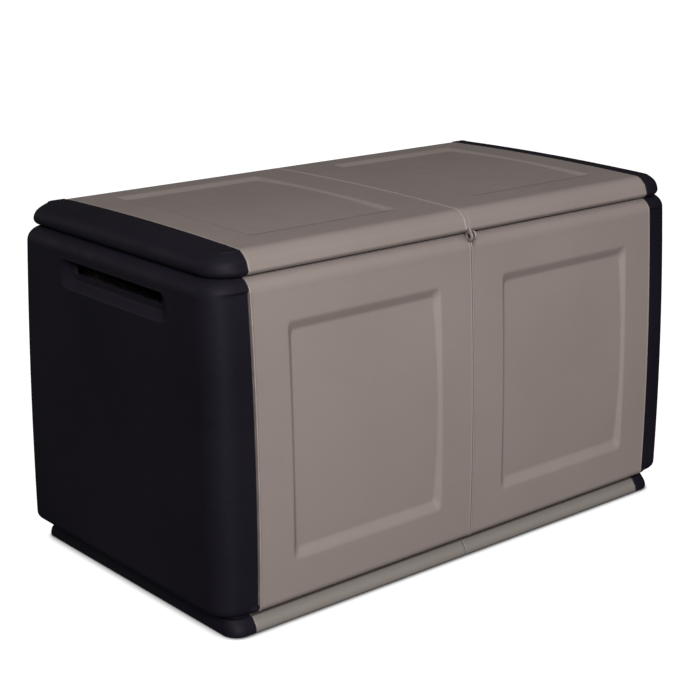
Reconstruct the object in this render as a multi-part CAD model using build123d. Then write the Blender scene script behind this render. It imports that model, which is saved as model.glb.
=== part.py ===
from build123d import *
import os

# Deck storage box: two coloured modules side by side between two black ends,
# standing on a plinth and closed by a hinged lid with a padlock hasp.
# Millimetres. X runs along the length, the front is at -Y, the floor is Z = 0.

os.makedirs("parts", exist_ok=True)

# ---------------------------------------------------------------- dimensions
HALF_LENGTH = 490.0          # body ends
SEAM_X = 426.0               # seam between a coloured module and a black end
WALL = 3.5                   # moulded wall of every panel
CORNER_R = 45.0              # plan radius of the body corners

PANEL_BOTTOM = 35.0          # underside of the wall panels
PANEL_SHOULDER = 511.0       # where the top roll starts
PANEL_TOP = 531.0            # ledge behind the top roll
HALF_DEPTH_BOTTOM = 264.8    # front and rear walls lean in as they rise
HALF_DEPTH_TOP = 250.0
WALL_BOW = 6.0               # and bulge outwards between bottom and top
RIM_HALF_X = 452.0           # mouth of the box
RIM_HALF_Y = 218.0
RIM_TOP = 545.0              # rain lip around the mouth
RIM_R = 20.0
FLANGE_IN = 22.0             # depth of the joining flanges behind the walls
BLACK_SETBACK = 4.0          # black corner flanges sit behind the coloured face
SETBACK_LOW = 45.0
SETBACK_HIGH = 509.0

PLINTH_TOP = 24.8            # sloping plinth strip
PLINTH_FOOT_X = 466.0
PLINTH_FOOT_Y = 255.8
PLINTH_HEAD_X = 465.0
PLINTH_HEAD_Y = 246.0
NECK_X = 459.0               # shadow groove between plinth and panels
NECK_Y = 240.0
MOUTH_BOTTOM_X = 458.0       # opening in the panels' return flange
MOUTH_BOTTOM_Y = 232.0
KERB_TOP = 43.0              # kerb that locates the panels on the base
KERB_GAP = 0.5
PLINTH_FOOT_R = 22.0         # plan radii of plinth and neck
PLINTH_HEAD_R = 21.0
NECK_R = 20.0
RIB = 3.0                    # ribs under the floor
FLOOR_RIB_BOTTOM = 4.0
FLOOR_RIB_X = (106.0, 213.0, 320.0)
FLOOR_RIB_Y = (-160.0, -80.0, 0.0, 80.0, 160.0)
RIB_ROOT = 0.5               # how far a rib bites into the floor plate

RECESS_LOW = 101.5           # recessed field of each wall panel
RECESS_HIGH = 458.5
RECESS_NEAR_SEAM = 67.5      # from the centre seam
RECESS_NEAR_END = 63.5       # from the black end
RECESS_DEEP = 8.5            # depth at the top and bottom of the field
RECESS_SHALLOW = 4.0         # depth at mid height
BEVEL_RUN_X = 1.25           # bevel width per millimetre of depth, at the sides
BEVEL_RUN_Z = 1.9            # and at the top and bottom
RECESS_CORNER_R = 6.0
FLANGE_TRIM = 15.0           # joining flanges stop this far below the setback's top

LID_LOW = 532.7              # lid's lower edge
LID_SHOULDER = 566.0         # lid's top at its front and rear edges
LID_CROWN = 4.0
LID_HALF_X = 480.0
LID_HALF_Y = 246.0
LID_TOP_HALF_X = 440.0
LID_TOP_HALF_Y = 228.0
LID_CORNER_R = 40.0
LID_SEAM_X = 423.0
LID_RECESS_FRONT = -172.0
LID_RECESS_REAR = 179.0
LID_RECESS_NEAR_SEAM = 82.0
LID_RECESS_NEAR_END = 58.0
LID_RECESS_DEEP = 5.0
LID_RECESS_SHALLOW = 2.5
LID_BEVEL_RUN_X = 2.5
LID_BEVEL_RUN_Y = 3.5
LID_NOSE_Z = 540.7           # where the lid's rounded ends meet its skirt
LID_NOSE_BULGE = (0.72, 0.7) # middle of the rounded end, as shares of its size
LID_SHOULDER_DROP = 18.0     # front and rear edges: drop and setback of the band
LID_BAND_SETBACK = 4.0
LID_BAND_LOW = 537.7
DOWNSTAND_GAP = 0.3          # downstands clear the rain lip by this much
LID_RIB_WIDE = 8.0           # raised rib along the left module's centre seam
LID_RIB_HIGH = 1.5
LID_RIB_END_Y = 212.0

GRIP_HALF = 136.0            # bevelled surround of each hand grip
GRIP_LOW = 453.0
GRIP_HIGH = 497.0
GRIP_DEPTH = 12.0
SLOT_HALF = 112.0            # finger slot in its upper part
SLOT_LOW = 475.0
SLOT_HIGH = 493.0
GRIP_COLLAR = 6.0            # how far the slot's collar reaches in

HINGE_Y = 254.0
HINGE_Z = 529.0
HINGE_PLACES = (-330.0, -110.0, 110.0, 330.0)
KNUCKLE_R = 7.0
LID_KNUCKLE = 24.0           # width of the lid's knuckle
EAR = 12.0                   # width of each body ear
KNUCKLE_GAP = 0.5
PIN_R = 2.5
PIN_RUNNING = 0.05           # radial clearance in the knuckles
PIN_HEAD_R = 4.5
STOP_OFFSET = 4.0            # heel that stops the lid just past upright
STOP_TILT = 10.0
HEEL_LENGTH = 10.5

HASP_Y = -247.0
HASP_Z = 527.5
HASP_HOLE_R = 3.5
HASP_EYE_R = 7.5
LID_TAB = (-4.2, -0.6)       # lid's half of the hasp, along X
BODY_TAB = (3.2, 7.2)        # body's half

SCREW_R = 2.0
SCREW_HOLE_R = 2.3
SCREW_HEAD_R = 4.2
SCREW_HEAD = 2.6
SCREW_REACH = 5.0            # thread beyond the second flange
FLANGE_SCREW_Z = (110.0, 230.0, 350.0, 470.0)
FLANGE_SCREW_Y = -(HALF_DEPTH_TOP - FLANGE_IN + 8)
LID_SCREW_Y = (-190.0, -70.0, 70.0, 190.0)
LID_SCREW_Z = 556.0

KEY_GRIP = 0.1               # seam keys: clearance on the flange pair
WALL_KEY_WALL = 2.5          # wall, depth, mouth, start and length of each key
WALL_KEY_DEPTH = 12.1
WALL_KEY_MOUTH = -240.0
WALL_KEY_LOW = 120.0
WALL_KEY_LENGTH = 340.0
FLOOR_KEY_WALL = 2.0
FLOOR_KEY_DEPTH = 10.1
FLOOR_KEY_MOUTH = 14.0
FLOOR_KEY_STARTS = (-76.0, 4.0)
FLOOR_KEY_LENGTH = 72.0
LID_KEY_WALL = 2.5
LID_KEY_DEPTH = 8.8
LID_KEY_MOUTH = 554.0
LID_KEY_HALF = 150.0

BODY_SECTIONS = 6            # sections of the lofted body
BIG = 700.0                  # larger than the box, for cutting


# ---------------------------------------------------------------- helpers
def slab(x0, x1, y0, y1, z0, z1):
    """Box between two corners."""
    middle = ((x0 + x1) / 2, (y0 + y1) / 2, (z0 + z1) / 2)
    return Pos(*middle) * Box(abs(x1 - x0), abs(y1 - y0), abs(z1 - z0))


def rounded(half_x, half_y, radius, z):
    """Rounded rectangle lying at height z."""
    return Plane.XY.offset(z) * RectangleRounded(2 * half_x, 2 * half_y, radius)


def prism(half_x, half_y, radius, z0, z1):
    """Upright block with a rounded rectangular plan."""
    return extrude(rounded(half_x, half_y, radius, z0), z1 - z0)


def along_x(profile, x0, x1):
    """Solid from a closed outline of (y, z) edges, between two X planes."""
    face = make_face(Plane.YZ.offset(x0) * profile)
    return extrude(face, x1 - x0, dir=(1, 0, 0))


def polygon_x(points, x0, x1):
    """Solid from a polygon of (y, z) points, between two X planes."""
    return along_x(Polyline(*points, close=True), x0, x1)


def rod_x(radius, x0, x1, y, z):
    """Round bar along X."""
    turned = Rot(0, 90, 0) * Cylinder(radius, x1 - x0)
    return Pos((x0 + x1) / 2, y, z) * turned


def front_half(solid):
    return solid & slab(-BIG, BIG, -BIG, 0, -BIG, 2 * BIG)


def mirror_y(solid):
    return mirror(solid, Plane.XZ)


def mirror_x(solid):
    return mirror(solid, Plane.YZ)


def save(name, solids):
    """Write one named sub-part; a list becomes a group of separate solids."""
    shape = solids if not isinstance(solids, list) else Compound(children=solids)
    shape.label = name
    export_step(shape, f"parts/{name}.step")


# ---------------------------------------------------------------- wall shape
def half_depth(z):
    """Half depth of the body at height z: a lean inwards plus a bow."""
    t = (z - PANEL_BOTTOM) / (PANEL_SHOULDER - PANEL_BOTTOM)
    straight = HALF_DEPTH_BOTTOM + (HALF_DEPTH_TOP - HALF_DEPTH_BOTTOM) * t
    return straight + WALL_BOW * 4 * t * (1 - t)


def body_block(inset, setback=0.0, grow_x=0.0):
    """Closed block inside the body's outer skin, smaller by inset all round."""
    low = PANEL_BOTTOM + inset
    high = PANEL_TOP - inset
    sections = []
    for step in range(BODY_SECTIONS):
        z = low + (high - low) * step / (BODY_SECTIONS - 1)
        depth = half_depth(z) - inset - setback
        length = HALF_LENGTH - inset + grow_x
        sections.append(rounded(length, depth, CORNER_R - inset, z))
    block = loft(sections)
    roll = PANEL_TOP - PANEL_SHOULDER - inset
    return fillet(block.edges().group_by(Axis.Z)[-1], roll)


def field_floor(z):
    """Distance of the recessed field's floor from the middle plane."""
    t = (z - RECESS_LOW) / (RECESS_HIGH - RECESS_LOW)
    depth = RECESS_SHALLOW + (RECESS_DEEP - RECESS_SHALLOW) * (2 * t - 1) ** 2
    return half_depth(z) - depth


def field_side(inset, x0, x1):
    """Everything in front of the recessed floor moved inwards by inset."""
    ends = [RECESS_LOW - 40, (RECESS_LOW + RECESS_HIGH) / 2, RECESS_HIGH + 40]
    p0, p1, p2 = [(inset - field_floor(z), z) for z in ends]
    outline = ThreePointArc(p0, p1, p2)
    outline += Polyline(p2, (-BIG, p2[1]), (-BIG, p0[1]), p0)
    return along_x(outline, x0, x1)


def field_frustum(x0, x1, grow):
    """Tapered plug whose four sides are the bevels of the recessed field."""
    outer_y = HALF_DEPTH_BOTTOM + 10
    inner_y = HALF_DEPTH_TOP - 20
    mid_x = (x0 + x1) / 2
    mid_z = (RECESS_LOW + RECESS_HIGH) / 2
    half_x = (x1 - x0) / 2
    half_z = (RECESS_HIGH - RECESS_LOW) / 2
    faces = []
    for y in (outer_y, inner_y):
        proud = y - half_depth(RECESS_LOW)
        wide = 2 * (half_x + proud * BEVEL_RUN_X + grow)
        high = 2 * (half_z + proud * BEVEL_RUN_Z + grow)
        plane = Plane(origin=(mid_x, -y, mid_z), x_dir=(1, 0, 0), z_dir=(0, -1, 0))
        faces.append(plane * RectangleRounded(wide, high, RECESS_CORNER_R + grow))
    return loft(faces)


# ---------------------------------------------------------------- body skin
OUTER = body_block(0.0)
INNER = body_block(WALL)


def body_skin():
    """Wall all round, with a ledge and rain lip above and a return below."""
    skin = OUTER - INNER
    skin -= prism(RIM_HALF_X, RIM_HALF_Y, RIM_R, PANEL_TOP - 2 * WALL, PANEL_TOP + 1)
    skin -= prism(MOUTH_BOTTOM_X, MOUTH_BOTTOM_Y, RIM_R, PANEL_BOTTOM - 1, PANEL_BOTTOM + 2 * WALL)
    lip = prism(RIM_HALF_X + WALL, RIM_HALF_Y + WALL, RIM_R + WALL, PANEL_TOP - WALL, RIM_TOP)
    lip -= prism(RIM_HALF_X, RIM_HALF_Y, RIM_R, PANEL_TOP - 2 * WALL, RIM_TOP + 1)
    return skin + lip


SKIN = body_skin()


def joining_flange(x0, x1):
    """Upright flange behind the front wall, inside the skin."""
    inner = -(HALF_DEPTH_TOP - FLANGE_IN)
    zone = slab(x0, x1, -BIG, inner, SETBACK_LOW, SETBACK_HIGH - FLANGE_TRIM)
    return OUTER & zone


def wall_panel():
    """Front panel of the right-hand module, without hasp."""
    panel = front_half(SKIN & slab(0, SEAM_X, -BIG, BIG, 0, BIG))
    panel += joining_flange(0, WALL)
    panel += joining_flange(SEAM_X - WALL, SEAM_X)
    x0 = RECESS_NEAR_SEAM
    x1 = SEAM_X - RECESS_NEAR_END
    backing = field_frustum(x0, x1, WALL) & field_side(WALL, 0, SEAM_X) & OUTER
    panel += backing
    panel -= field_frustum(x0, x1, 0) & field_side(0, 0, SEAM_X)
    for z in FLANGE_SCREW_Z:
        panel -= rod_x(SCREW_HOLE_R, SEAM_X - 2 * WALL, SEAM_X + 1, FLANGE_SCREW_Y, z)
    return panel


def hasp_eye(tab, arm):
    """Flat eye in the YZ plane joined to an arm polygon."""
    x0, x1 = tab
    eye = rod_x(HASP_EYE_R, x0, x1, HASP_Y, HASP_Z)
    return eye + polygon_x(arm, x0, x1)


def hasp_hole(solid):
    return solid - rod_x(HASP_HOLE_R, -20, 20, HASP_Y, HASP_Z)


BODY_EYE_ARM = [
    (HASP_Y - 6.8, HASP_Z - 3),
    (HASP_Y - 2.5, PANEL_SHOULDER - 4),
    (HASP_Y + 12, PANEL_SHOULDER - 4),
    (HASP_Y + 12, HASP_Z + 1),
    (HASP_Y + 5, HASP_Z + 5),
]


def front_panel_right():
    panel = wall_panel()
    arm = hasp_eye(BODY_TAB, BODY_EYE_ARM)
    lid_side = slab(*BODY_TAB, HASP_Y - BIG, BIG, LID_LOW - 0.6, BIG)
    return hasp_hole(panel + (arm - lid_side))


def front_panel_left():
    panel = mirror_x(wall_panel())
    pocket = slab(LID_TAB[0] - 1, 1, -BIG, HASP_Y + 10, HASP_Z - HASP_EYE_R - 2, BIG)
    return panel - pocket


# ---------------------------------------------------------------- hinges
def body_ears(x):
    """Two ears and the stop web of one hinge, on the rear wall."""
    foot = PANEL_SHOULDER - 22
    ears = []
    inner = LID_KNUCKLE / 2 + KNUCKLE_GAP
    for side in (-1, 1):
        x0, x1 = sorted((x + side * inner, x + side * (inner + EAR)))
        arm = [
            (HALF_DEPTH_TOP - 2, foot),
            (HINGE_Y + KNUCKLE_R - 0.5, HINGE_Z - 8),
            (HINGE_Y + KNUCKLE_R - 0.3, HINGE_Z),
            (HINGE_Y - KNUCKLE_R + 2, HINGE_Z - 4),
            (HALF_DEPTH_TOP - 8, PANEL_SHOULDER + 2),
        ]
        ears.append(polygon_x(arm, x0, x1) + rod_x(KNUCKLE_R, x0, x1, HINGE_Y, HINGE_Z))
    stop_y = HINGE_Y - STOP_OFFSET - 0.3
    web = slab(x - inner, x + inner, stop_y - 6, stop_y, PANEL_SHOULDER - 10, HINGE_Z - 8)
    return ears[0] + ears[1] + web


def pin_hole(x):
    reach = LID_KNUCKLE / 2 + KNUCKLE_GAP + EAR + 1
    return rod_x(PIN_R + PIN_RUNNING, x - reach, x + reach, HINGE_Y, HINGE_Z)


def hinge_pin(x):
    reach = LID_KNUCKLE / 2 + KNUCKLE_GAP + EAR + 0.5
    pin = rod_x(PIN_R, x - reach, x + reach, HINGE_Y, HINGE_Z)
    head = rod_x(PIN_HEAD_R, x - reach - 2, x - reach, HINGE_Y, HINGE_Z)
    return pin + head


def lid_knuckle(x):
    """Lid knuckle with its arm to the rear skirt and its stop heel."""
    x0 = x - LID_KNUCKLE / 2
    x1 = x + LID_KNUCKLE / 2
    barrel = rod_x(KNUCKLE_R, x0, x1, HINGE_Y, HINGE_Z)
    arm = [
        (HINGE_Y, HINGE_Z + KNUCKLE_R),
        (HINGE_Y - 4, HINGE_Z + 16),
        (HINGE_Y - 11, HINGE_Z + 16),
        (HINGE_Y - 11, HINGE_Z + 4.5),
        (HINGE_Y - KNUCKLE_R + 1, HINGE_Z),
        (HINGE_Y, HINGE_Z),
    ]
    heel = Pos(x, HINGE_Y, HINGE_Z) * Rot(STOP_TILT, 0, 0) * Pos(0, HEEL_LENGTH / 2, 0) * Box(
        LID_KNUCKLE, HEEL_LENGTH, 2 * STOP_OFFSET
    )
    return barrel + polygon_x(arm, x0, x1) + heel


def rear_panel_right():
    panel = mirror_y(wall_panel())
    for x in HINGE_PLACES[2:]:
        panel += body_ears(x)
        panel -= pin_hole(x)
    return panel


# ---------------------------------------------------------------- black ends
def grip_surround(grow):
    """Tapered plug of the hand-grip recess in the left end, grown outwards."""
    outer = Plane(origin=(-HALF_LENGTH, 0, 0), x_dir=(0, -1, 0), z_dir=(-1, 0, 0))
    inner = outer.offset(-(GRIP_DEPTH + grow))
    wide = Polyline(
        (-GRIP_HALF - grow, GRIP_LOW - grow),
        (GRIP_HALF + grow, GRIP_LOW - grow),
        (GRIP_HALF + grow, GRIP_HIGH + grow),
        (-GRIP_HALF - grow, GRIP_HIGH + grow),
        close=True,
    )
    tight = Polyline(
        (-SLOT_HALF - grow, SLOT_LOW - grow),
        (SLOT_HALF + grow, SLOT_LOW - grow),
        (SLOT_HALF + grow, SLOT_HIGH + grow),
        (-SLOT_HALF - grow, SLOT_HIGH + grow),
        close=True,
    )
    return loft([make_face(outer * wide), make_face(inner * tight)], ruled=True)


def side_panel_left():
    panel = SKIN & slab(-BIG, -SEAM_X, -BIG, BIG, 0, BIG)
    flange = joining_flange(-SEAM_X - WALL, -SEAM_X)
    panel += flange + mirror_y(flange)
    relief = slab(-BIG, -SEAM_X, -BIG, BIG, SETBACK_LOW, SETBACK_HIGH)
    relief -= body_block(0.0, BLACK_SETBACK, 1.0)
    panel += (INNER & slab(-SEAM_X - 40, -SEAM_X, -BIG, BIG, SETBACK_LOW, SETBACK_HIGH)) - body_block(
        WALL, BLACK_SETBACK
    )
    panel -= relief
    x_in = -HALF_LENGTH + GRIP_DEPTH
    collar = slab(
        x_in - 1, x_in + GRIP_COLLAR, -SLOT_HALF - WALL, SLOT_HALF + WALL,
        SLOT_LOW - WALL, SLOT_HIGH + WALL,
    )
    panel += (grip_surround(WALL) & OUTER) + collar
    panel -= grip_surround(0.0)
    panel -= slab(x_in - 2, x_in + GRIP_COLLAR + 1, -SLOT_HALF, SLOT_HALF, SLOT_LOW, SLOT_HIGH)
    for z in FLANGE_SCREW_Z:
        for side in (-1, 1):
            hole = rod_x(SCREW_HOLE_R, -SEAM_X - 2 * WALL, -SEAM_X + 1, side * -FLANGE_SCREW_Y, z)
            panel -= hole
    return panel


# ---------------------------------------------------------------- base
def base_skin():
    """Plinth strip, neck, floor and locating kerb in one hollow shape."""
    foot = rounded(PLINTH_FOOT_X, PLINTH_FOOT_Y, PLINTH_FOOT_R, 0)
    head = rounded(PLINTH_HEAD_X, PLINTH_HEAD_Y, PLINTH_HEAD_R, PLINTH_TOP)
    shape = loft([foot, head], ruled=True)
    shape += prism(NECK_X, NECK_Y, NECK_R, PLINTH_TOP - 1, PANEL_BOTTOM)
    kerb_x = MOUTH_BOTTOM_X - KERB_GAP
    kerb_y = MOUTH_BOTTOM_Y - KERB_GAP
    kerb = prism(kerb_x, kerb_y, RIM_R, PANEL_BOTTOM - 1, KERB_TOP)
    kerb -= prism(kerb_x - WALL, kerb_y - WALL, RIM_R - WALL, PANEL_BOTTOM - 2, KERB_TOP + 1)
    shape += kerb
    foot_in = rounded(PLINTH_FOOT_X - WALL, PLINTH_FOOT_Y - WALL, PLINTH_FOOT_R - WALL, -0.01)
    head_in = rounded(
        PLINTH_HEAD_X - WALL, PLINTH_HEAD_Y - WALL, PLINTH_HEAD_R - WALL, PLINTH_TOP - WALL
    )
    shape -= loft([foot_in, head_in], ruled=True)
    shape -= prism(
        NECK_X - WALL, NECK_Y - WALL, NECK_R - WALL, PLINTH_TOP - WALL - 1, PANEL_BOTTOM - WALL
    )
    return shape


BASE = base_skin()


def floor_right():
    floor = BASE & slab(0, SEAM_X, -BIG, BIG, -1, BIG)
    top = PANEL_BOTTOM - WALL + RIB_ROOT
    for y in FLOOR_RIB_Y:
        floor += slab(0, SEAM_X, y - RIB / 2, y + RIB / 2, FLOOR_RIB_BOTTOM, top)
    walls = [(x - RIB / 2, x + RIB / 2) for x in FLOOR_RIB_X]
    walls += [(0, WALL), (SEAM_X - WALL, SEAM_X)]
    for x0, x1 in walls:
        floor += slab(x0, x1, -NECK_Y + 1, NECK_Y - 1, FLOOR_RIB_BOTTOM, top)
    return floor


def base_end_right():
    end = BASE & slab(SEAM_X, BIG, -BIG, BIG, -1, BIG)
    top = PANEL_BOTTOM - WALL + RIB_ROOT
    end += slab(SEAM_X, SEAM_X + WALL, -NECK_Y + 1, NECK_Y - 1, FLOOR_RIB_BOTTOM, top)
    for y in FLOOR_RIB_Y:
        end += slab(SEAM_X, NECK_X - 1, y - RIB / 2, y + RIB / 2, FLOOR_RIB_BOTTOM, top)
    return end


# ---------------------------------------------------------------- lid
def lid_profile(inset, skirt_bottom):
    """Crowned cross-section of the lid as a closed (y, z) outline."""
    top_y = LID_TOP_HALF_Y - inset * 0.6
    side_y = LID_HALF_Y - inset
    mid_y = LID_HALF_Y - LID_BAND_SETBACK - inset
    shoulder = LID_SHOULDER - inset
    mid_z = LID_SHOULDER - LID_SHOULDER_DROP - inset * 0.4
    low_z = LID_BAND_LOW
    crown = ThreePointArc((-top_y, shoulder), (0, shoulder + LID_CROWN), (top_y, shoulder))
    rear = Polyline((top_y, shoulder), (mid_y, mid_z), (side_y, low_z), (side_y, skirt_bottom))
    front = Polyline((-side_y, skirt_bottom), (-side_y, low_z), (-mid_y, mid_z), (-top_y, shoulder))
    return crown + rear + Line((side_y, skirt_bottom), (-side_y, skirt_bottom)) + front


def lid_end_profile(inset, skirt_bottom):
    """Long section of the lid, bull-nosed at both ends, as a solid along Y."""
    half = LID_HALF_X - inset
    flat = LID_TOP_HALF_X
    top = LID_SHOULDER + LID_CROWN + 1 - inset
    nose = LID_NOSE_Z
    share_x, share_z = LID_NOSE_BULGE
    bulge_x = flat + (half - flat) * share_x
    bulge_z = nose + (top - nose) * share_z
    outline = Polyline((-half, nose), (-half, skirt_bottom), (half, skirt_bottom), (half, nose))
    outline += ThreePointArc((half, nose), (bulge_x, bulge_z), (flat, top))
    outline += Line((flat, top), (-flat, top))
    outline += ThreePointArc((-flat, top), (-bulge_x, bulge_z), (-half, nose))
    plane = Plane(origin=(0, BIG, 0), x_dir=(1, 0, 0), z_dir=(0, -1, 0))
    return extrude(make_face(plane * outline), 2 * BIG, dir=(0, -1, 0))


def lid_block(inset, skirt_bottom):
    half_x = LID_HALF_X - inset
    half_y = LID_HALF_Y - inset
    block = along_x(lid_profile(inset, skirt_bottom), -half_x, half_x)
    block &= lid_end_profile(inset, skirt_bottom)
    return block & prism(half_x, half_y, LID_CORNER_R - inset, skirt_bottom - 1, BIG)


LID_OUTER = lid_block(0.0, LID_LOW)
LID_SKIN = LID_OUTER - lid_block(WALL, LID_LOW - 5)


def lid_floor_height(y):
    """Height of the lid's recessed field at y."""
    middle = (LID_RECESS_FRONT + LID_RECESS_REAR) / 2
    t = (y - middle) / ((LID_RECESS_REAR - LID_RECESS_FRONT) / 2)
    crown = LID_CROWN * (1 - (y / LID_TOP_HALF_Y) ** 2)
    depth = LID_RECESS_SHALLOW + (LID_RECESS_DEEP - LID_RECESS_SHALLOW) * t * t
    return LID_SHOULDER + crown - depth


def lid_field_above(lower, x0, x1):
    """Everything above the lid's recessed floor moved down by lower."""
    ends = [LID_RECESS_FRONT - 20, (LID_RECESS_FRONT + LID_RECESS_REAR) / 2, LID_RECESS_REAR + 20]
    p0, p1, p2 = [(y, lid_floor_height(y) - lower) for y in ends]
    outline = ThreePointArc(p0, p1, p2) + Polyline(p2, (p2[0], BIG), (p0[0], BIG), p0)
    return along_x(outline, x0, x1)


def lid_field_frustum(x0, x1, grow):
    mid_x = (x0 + x1) / 2
    mid_y = (LID_RECESS_FRONT + LID_RECESS_REAR) / 2
    half_x = (x1 - x0) / 2
    half_y = (LID_RECESS_REAR - LID_RECESS_FRONT) / 2
    faces = []
    for z in (LID_SHOULDER + 10, LID_SHOULDER - 14):
        proud = z - LID_SHOULDER - LID_CROWN / 2
        wide = 2 * (half_x + proud * LID_BEVEL_RUN_X + grow)
        high = 2 * (half_y + proud * LID_BEVEL_RUN_Y + grow)
        face = RectangleRounded(wide, high, RECESS_CORNER_R + grow)
        faces.append(Plane.XY.offset(z) * Pos(mid_x, mid_y) * face)
    return loft(faces)


def lid_flange(x0, x1):
    """Downstand under the lid along a seam, just above the rain lip."""
    low = RIM_TOP + DOWNSTAND_GAP
    return LID_OUTER & slab(x0, x1, -LID_HALF_Y + 1, LID_HALF_Y - 1, low, BIG)


def lid_panel_right():
    panel = LID_SKIN & slab(0, LID_SEAM_X, -BIG, BIG, 0, BIG)
    panel += lid_flange(0, WALL) + lid_flange(LID_SEAM_X - WALL, LID_SEAM_X)
    x0 = LID_RECESS_NEAR_SEAM
    x1 = LID_SEAM_X - LID_RECESS_NEAR_END
    panel += lid_field_frustum(x0, x1, WALL) & lid_field_above(WALL, 0, LID_SEAM_X) & LID_OUTER
    panel -= lid_field_frustum(x0, x1, 0) & lid_field_above(0, 0, LID_SEAM_X)
    for x in HINGE_PLACES[2:]:
        panel += lid_knuckle(x)
        panel -= pin_hole(x)
    for y in LID_SCREW_Y:
        panel -= rod_x(SCREW_HOLE_R, LID_SEAM_X - 2 * WALL, LID_SEAM_X + 1, y, LID_SCREW_Z)
    return panel


LID_TAB_ARM = [
    (HASP_Y - 7.3, HASP_Z + 1),
    (HASP_Y - 3, LID_LOW + 6),
    (HASP_Y + 2.6, LID_LOW + 14),
    (HASP_Y + 7, LID_LOW + 14),
    (HASP_Y + 7, HASP_Z + 1),
]


def lid_rib():
    """Raised strip over the lid's front and top, beside the centre seam."""
    proud = lid_block(-LID_RIB_HIGH, LID_LOW) - lid_block(WALL, LID_LOW - 5)
    return proud & slab(-LID_RIB_WIDE, 0, -BIG, LID_RIB_END_Y, 0, BIG)


def lid_panel_left():
    panel = mirror_x(lid_panel_right()) + lid_rib()
    return hasp_hole(panel + hasp_eye(LID_TAB, LID_TAB_ARM))


def lid_end_right():
    end = LID_SKIN & slab(LID_SEAM_X, BIG, -BIG, BIG, 0, BIG)
    end += lid_flange(LID_SEAM_X, LID_SEAM_X + WALL)
    for y in LID_SCREW_Y:
        end -= rod_x(SCREW_HOLE_R, LID_SEAM_X - 1, LID_SEAM_X + 2 * WALL, y, LID_SCREW_Z)
    return end


# ---------------------------------------------------------------- keys, screws
def channel(plane, depth, wall):
    """Face of a joining channel that grips two flanges, its mouth at the plane's origin."""
    inside = WALL + KEY_GRIP
    outside = WALL + wall
    points = [
        (-outside, 0), (-inside, 0), (-inside, -depth), (inside, -depth),
        (inside, 0), (outside, 0), (outside, -depth - wall), (-outside, -depth - wall),
    ]
    return make_face(plane * Polyline(*points, close=True))


def wall_key():
    """Channel over the two flanges behind the front centre seam."""
    plane = Plane(origin=(0, WALL_KEY_MOUTH, WALL_KEY_LOW), x_dir=(1, 0, 0), z_dir=(0, 0, -1))
    face = channel(plane, WALL_KEY_DEPTH, WALL_KEY_WALL)
    return extrude(face, WALL_KEY_LENGTH, dir=(0, 0, 1))


def floor_keys():
    """Channels over the two end walls under the floor's centre seam."""
    keys = []
    for start in FLOOR_KEY_STARTS:
        plane = Plane(origin=(0, start, FLOOR_KEY_MOUTH), x_dir=(1, 0, 0), z_dir=(0, -1, 0))
        face = channel(plane, FLOOR_KEY_DEPTH, FLOOR_KEY_WALL)
        keys.append(extrude(face, FLOOR_KEY_LENGTH, dir=(0, 1, 0)))
    return keys


def lid_key():
    """Channel over the two downstands under the lid's centre seam."""
    plane = Plane(origin=(0, -LID_KEY_HALF, LID_KEY_MOUTH), x_dir=(1, 0, 0), z_dir=(0, -1, 0))
    face = channel(plane, LID_KEY_DEPTH, LID_KEY_WALL)
    return extrude(face, 2 * LID_KEY_HALF, dir=(0, 1, 0))


def screw_x(x_head, direction, y, z, length):
    """Pan-head screw along X, head at x_head, pointing in direction."""
    tip = x_head + direction * length
    back = x_head - direction * SCREW_HEAD
    shank = rod_x(SCREW_R, min(x_head, tip), max(x_head, tip), y, z)
    head = rod_x(SCREW_HEAD_R, min(x_head, back), max(x_head, back), y, z)
    return shank + head


def corner_screws(side_x, side_y):
    """Screws through the flange pair of one corner, heads on the module side."""
    head = side_x * (SEAM_X - WALL)
    y = side_y * -FLANGE_SCREW_Y
    return [screw_x(head, side_x, y, z, 2 * WALL + SCREW_REACH) for z in FLANGE_SCREW_Z]


def lid_end_screws(side_x):
    head = side_x * (LID_SEAM_X - WALL)
    return [screw_x(head, side_x, y, LID_SCREW_Z, 2 * WALL + SCREW_REACH) for y in LID_SCREW_Y]


# ---------------------------------------------------------------- write parts
def main():
    floor = floor_right()
    base_end = base_end_right()
    rear = rear_panel_right()
    side = side_panel_left()
    lid_end = lid_end_right()
    key = wall_key()

    save("floor_right", floor)
    save("floor_left", mirror_x(floor))
    save("base_end_right", base_end)
    save("base_end_left", mirror_x(base_end))
    save("front_panel_right", front_panel_right())
    save("front_panel_left", front_panel_left())
    save("rear_panel_right", rear)
    save("rear_panel_left", mirror_x(rear))
    save("side_panel_left", side)
    save("side_panel_right", mirror_x(side))
    save("front_seam_key", key)
    save("rear_seam_key", mirror_y(key))
    save("floor_seam_keys", floor_keys())
    save("lid_panel_right", lid_panel_right())
    save("lid_panel_left", lid_panel_left())
    save("lid_end_right", lid_end)
    save("lid_end_left", mirror_x(lid_end))
    save("lid_seam_key", lid_key())
    for number, x in enumerate(HINGE_PLACES, start=1):
        save(f"hinge_pin_{number}", hinge_pin(x))
    for x_name, side_x in (("left", -1), ("right", 1)):
        for y_name, side_y in (("front", -1), ("rear", 1)):
            save(f"corner_screws_{y_name}_{x_name}", corner_screws(side_x, side_y))
        save(f"lid_end_screws_{x_name}", lid_end_screws(side_x))


main()
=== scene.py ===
import math

import bmesh
import bpy
import numpy as np
from mathutils import Matrix, Vector


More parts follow.
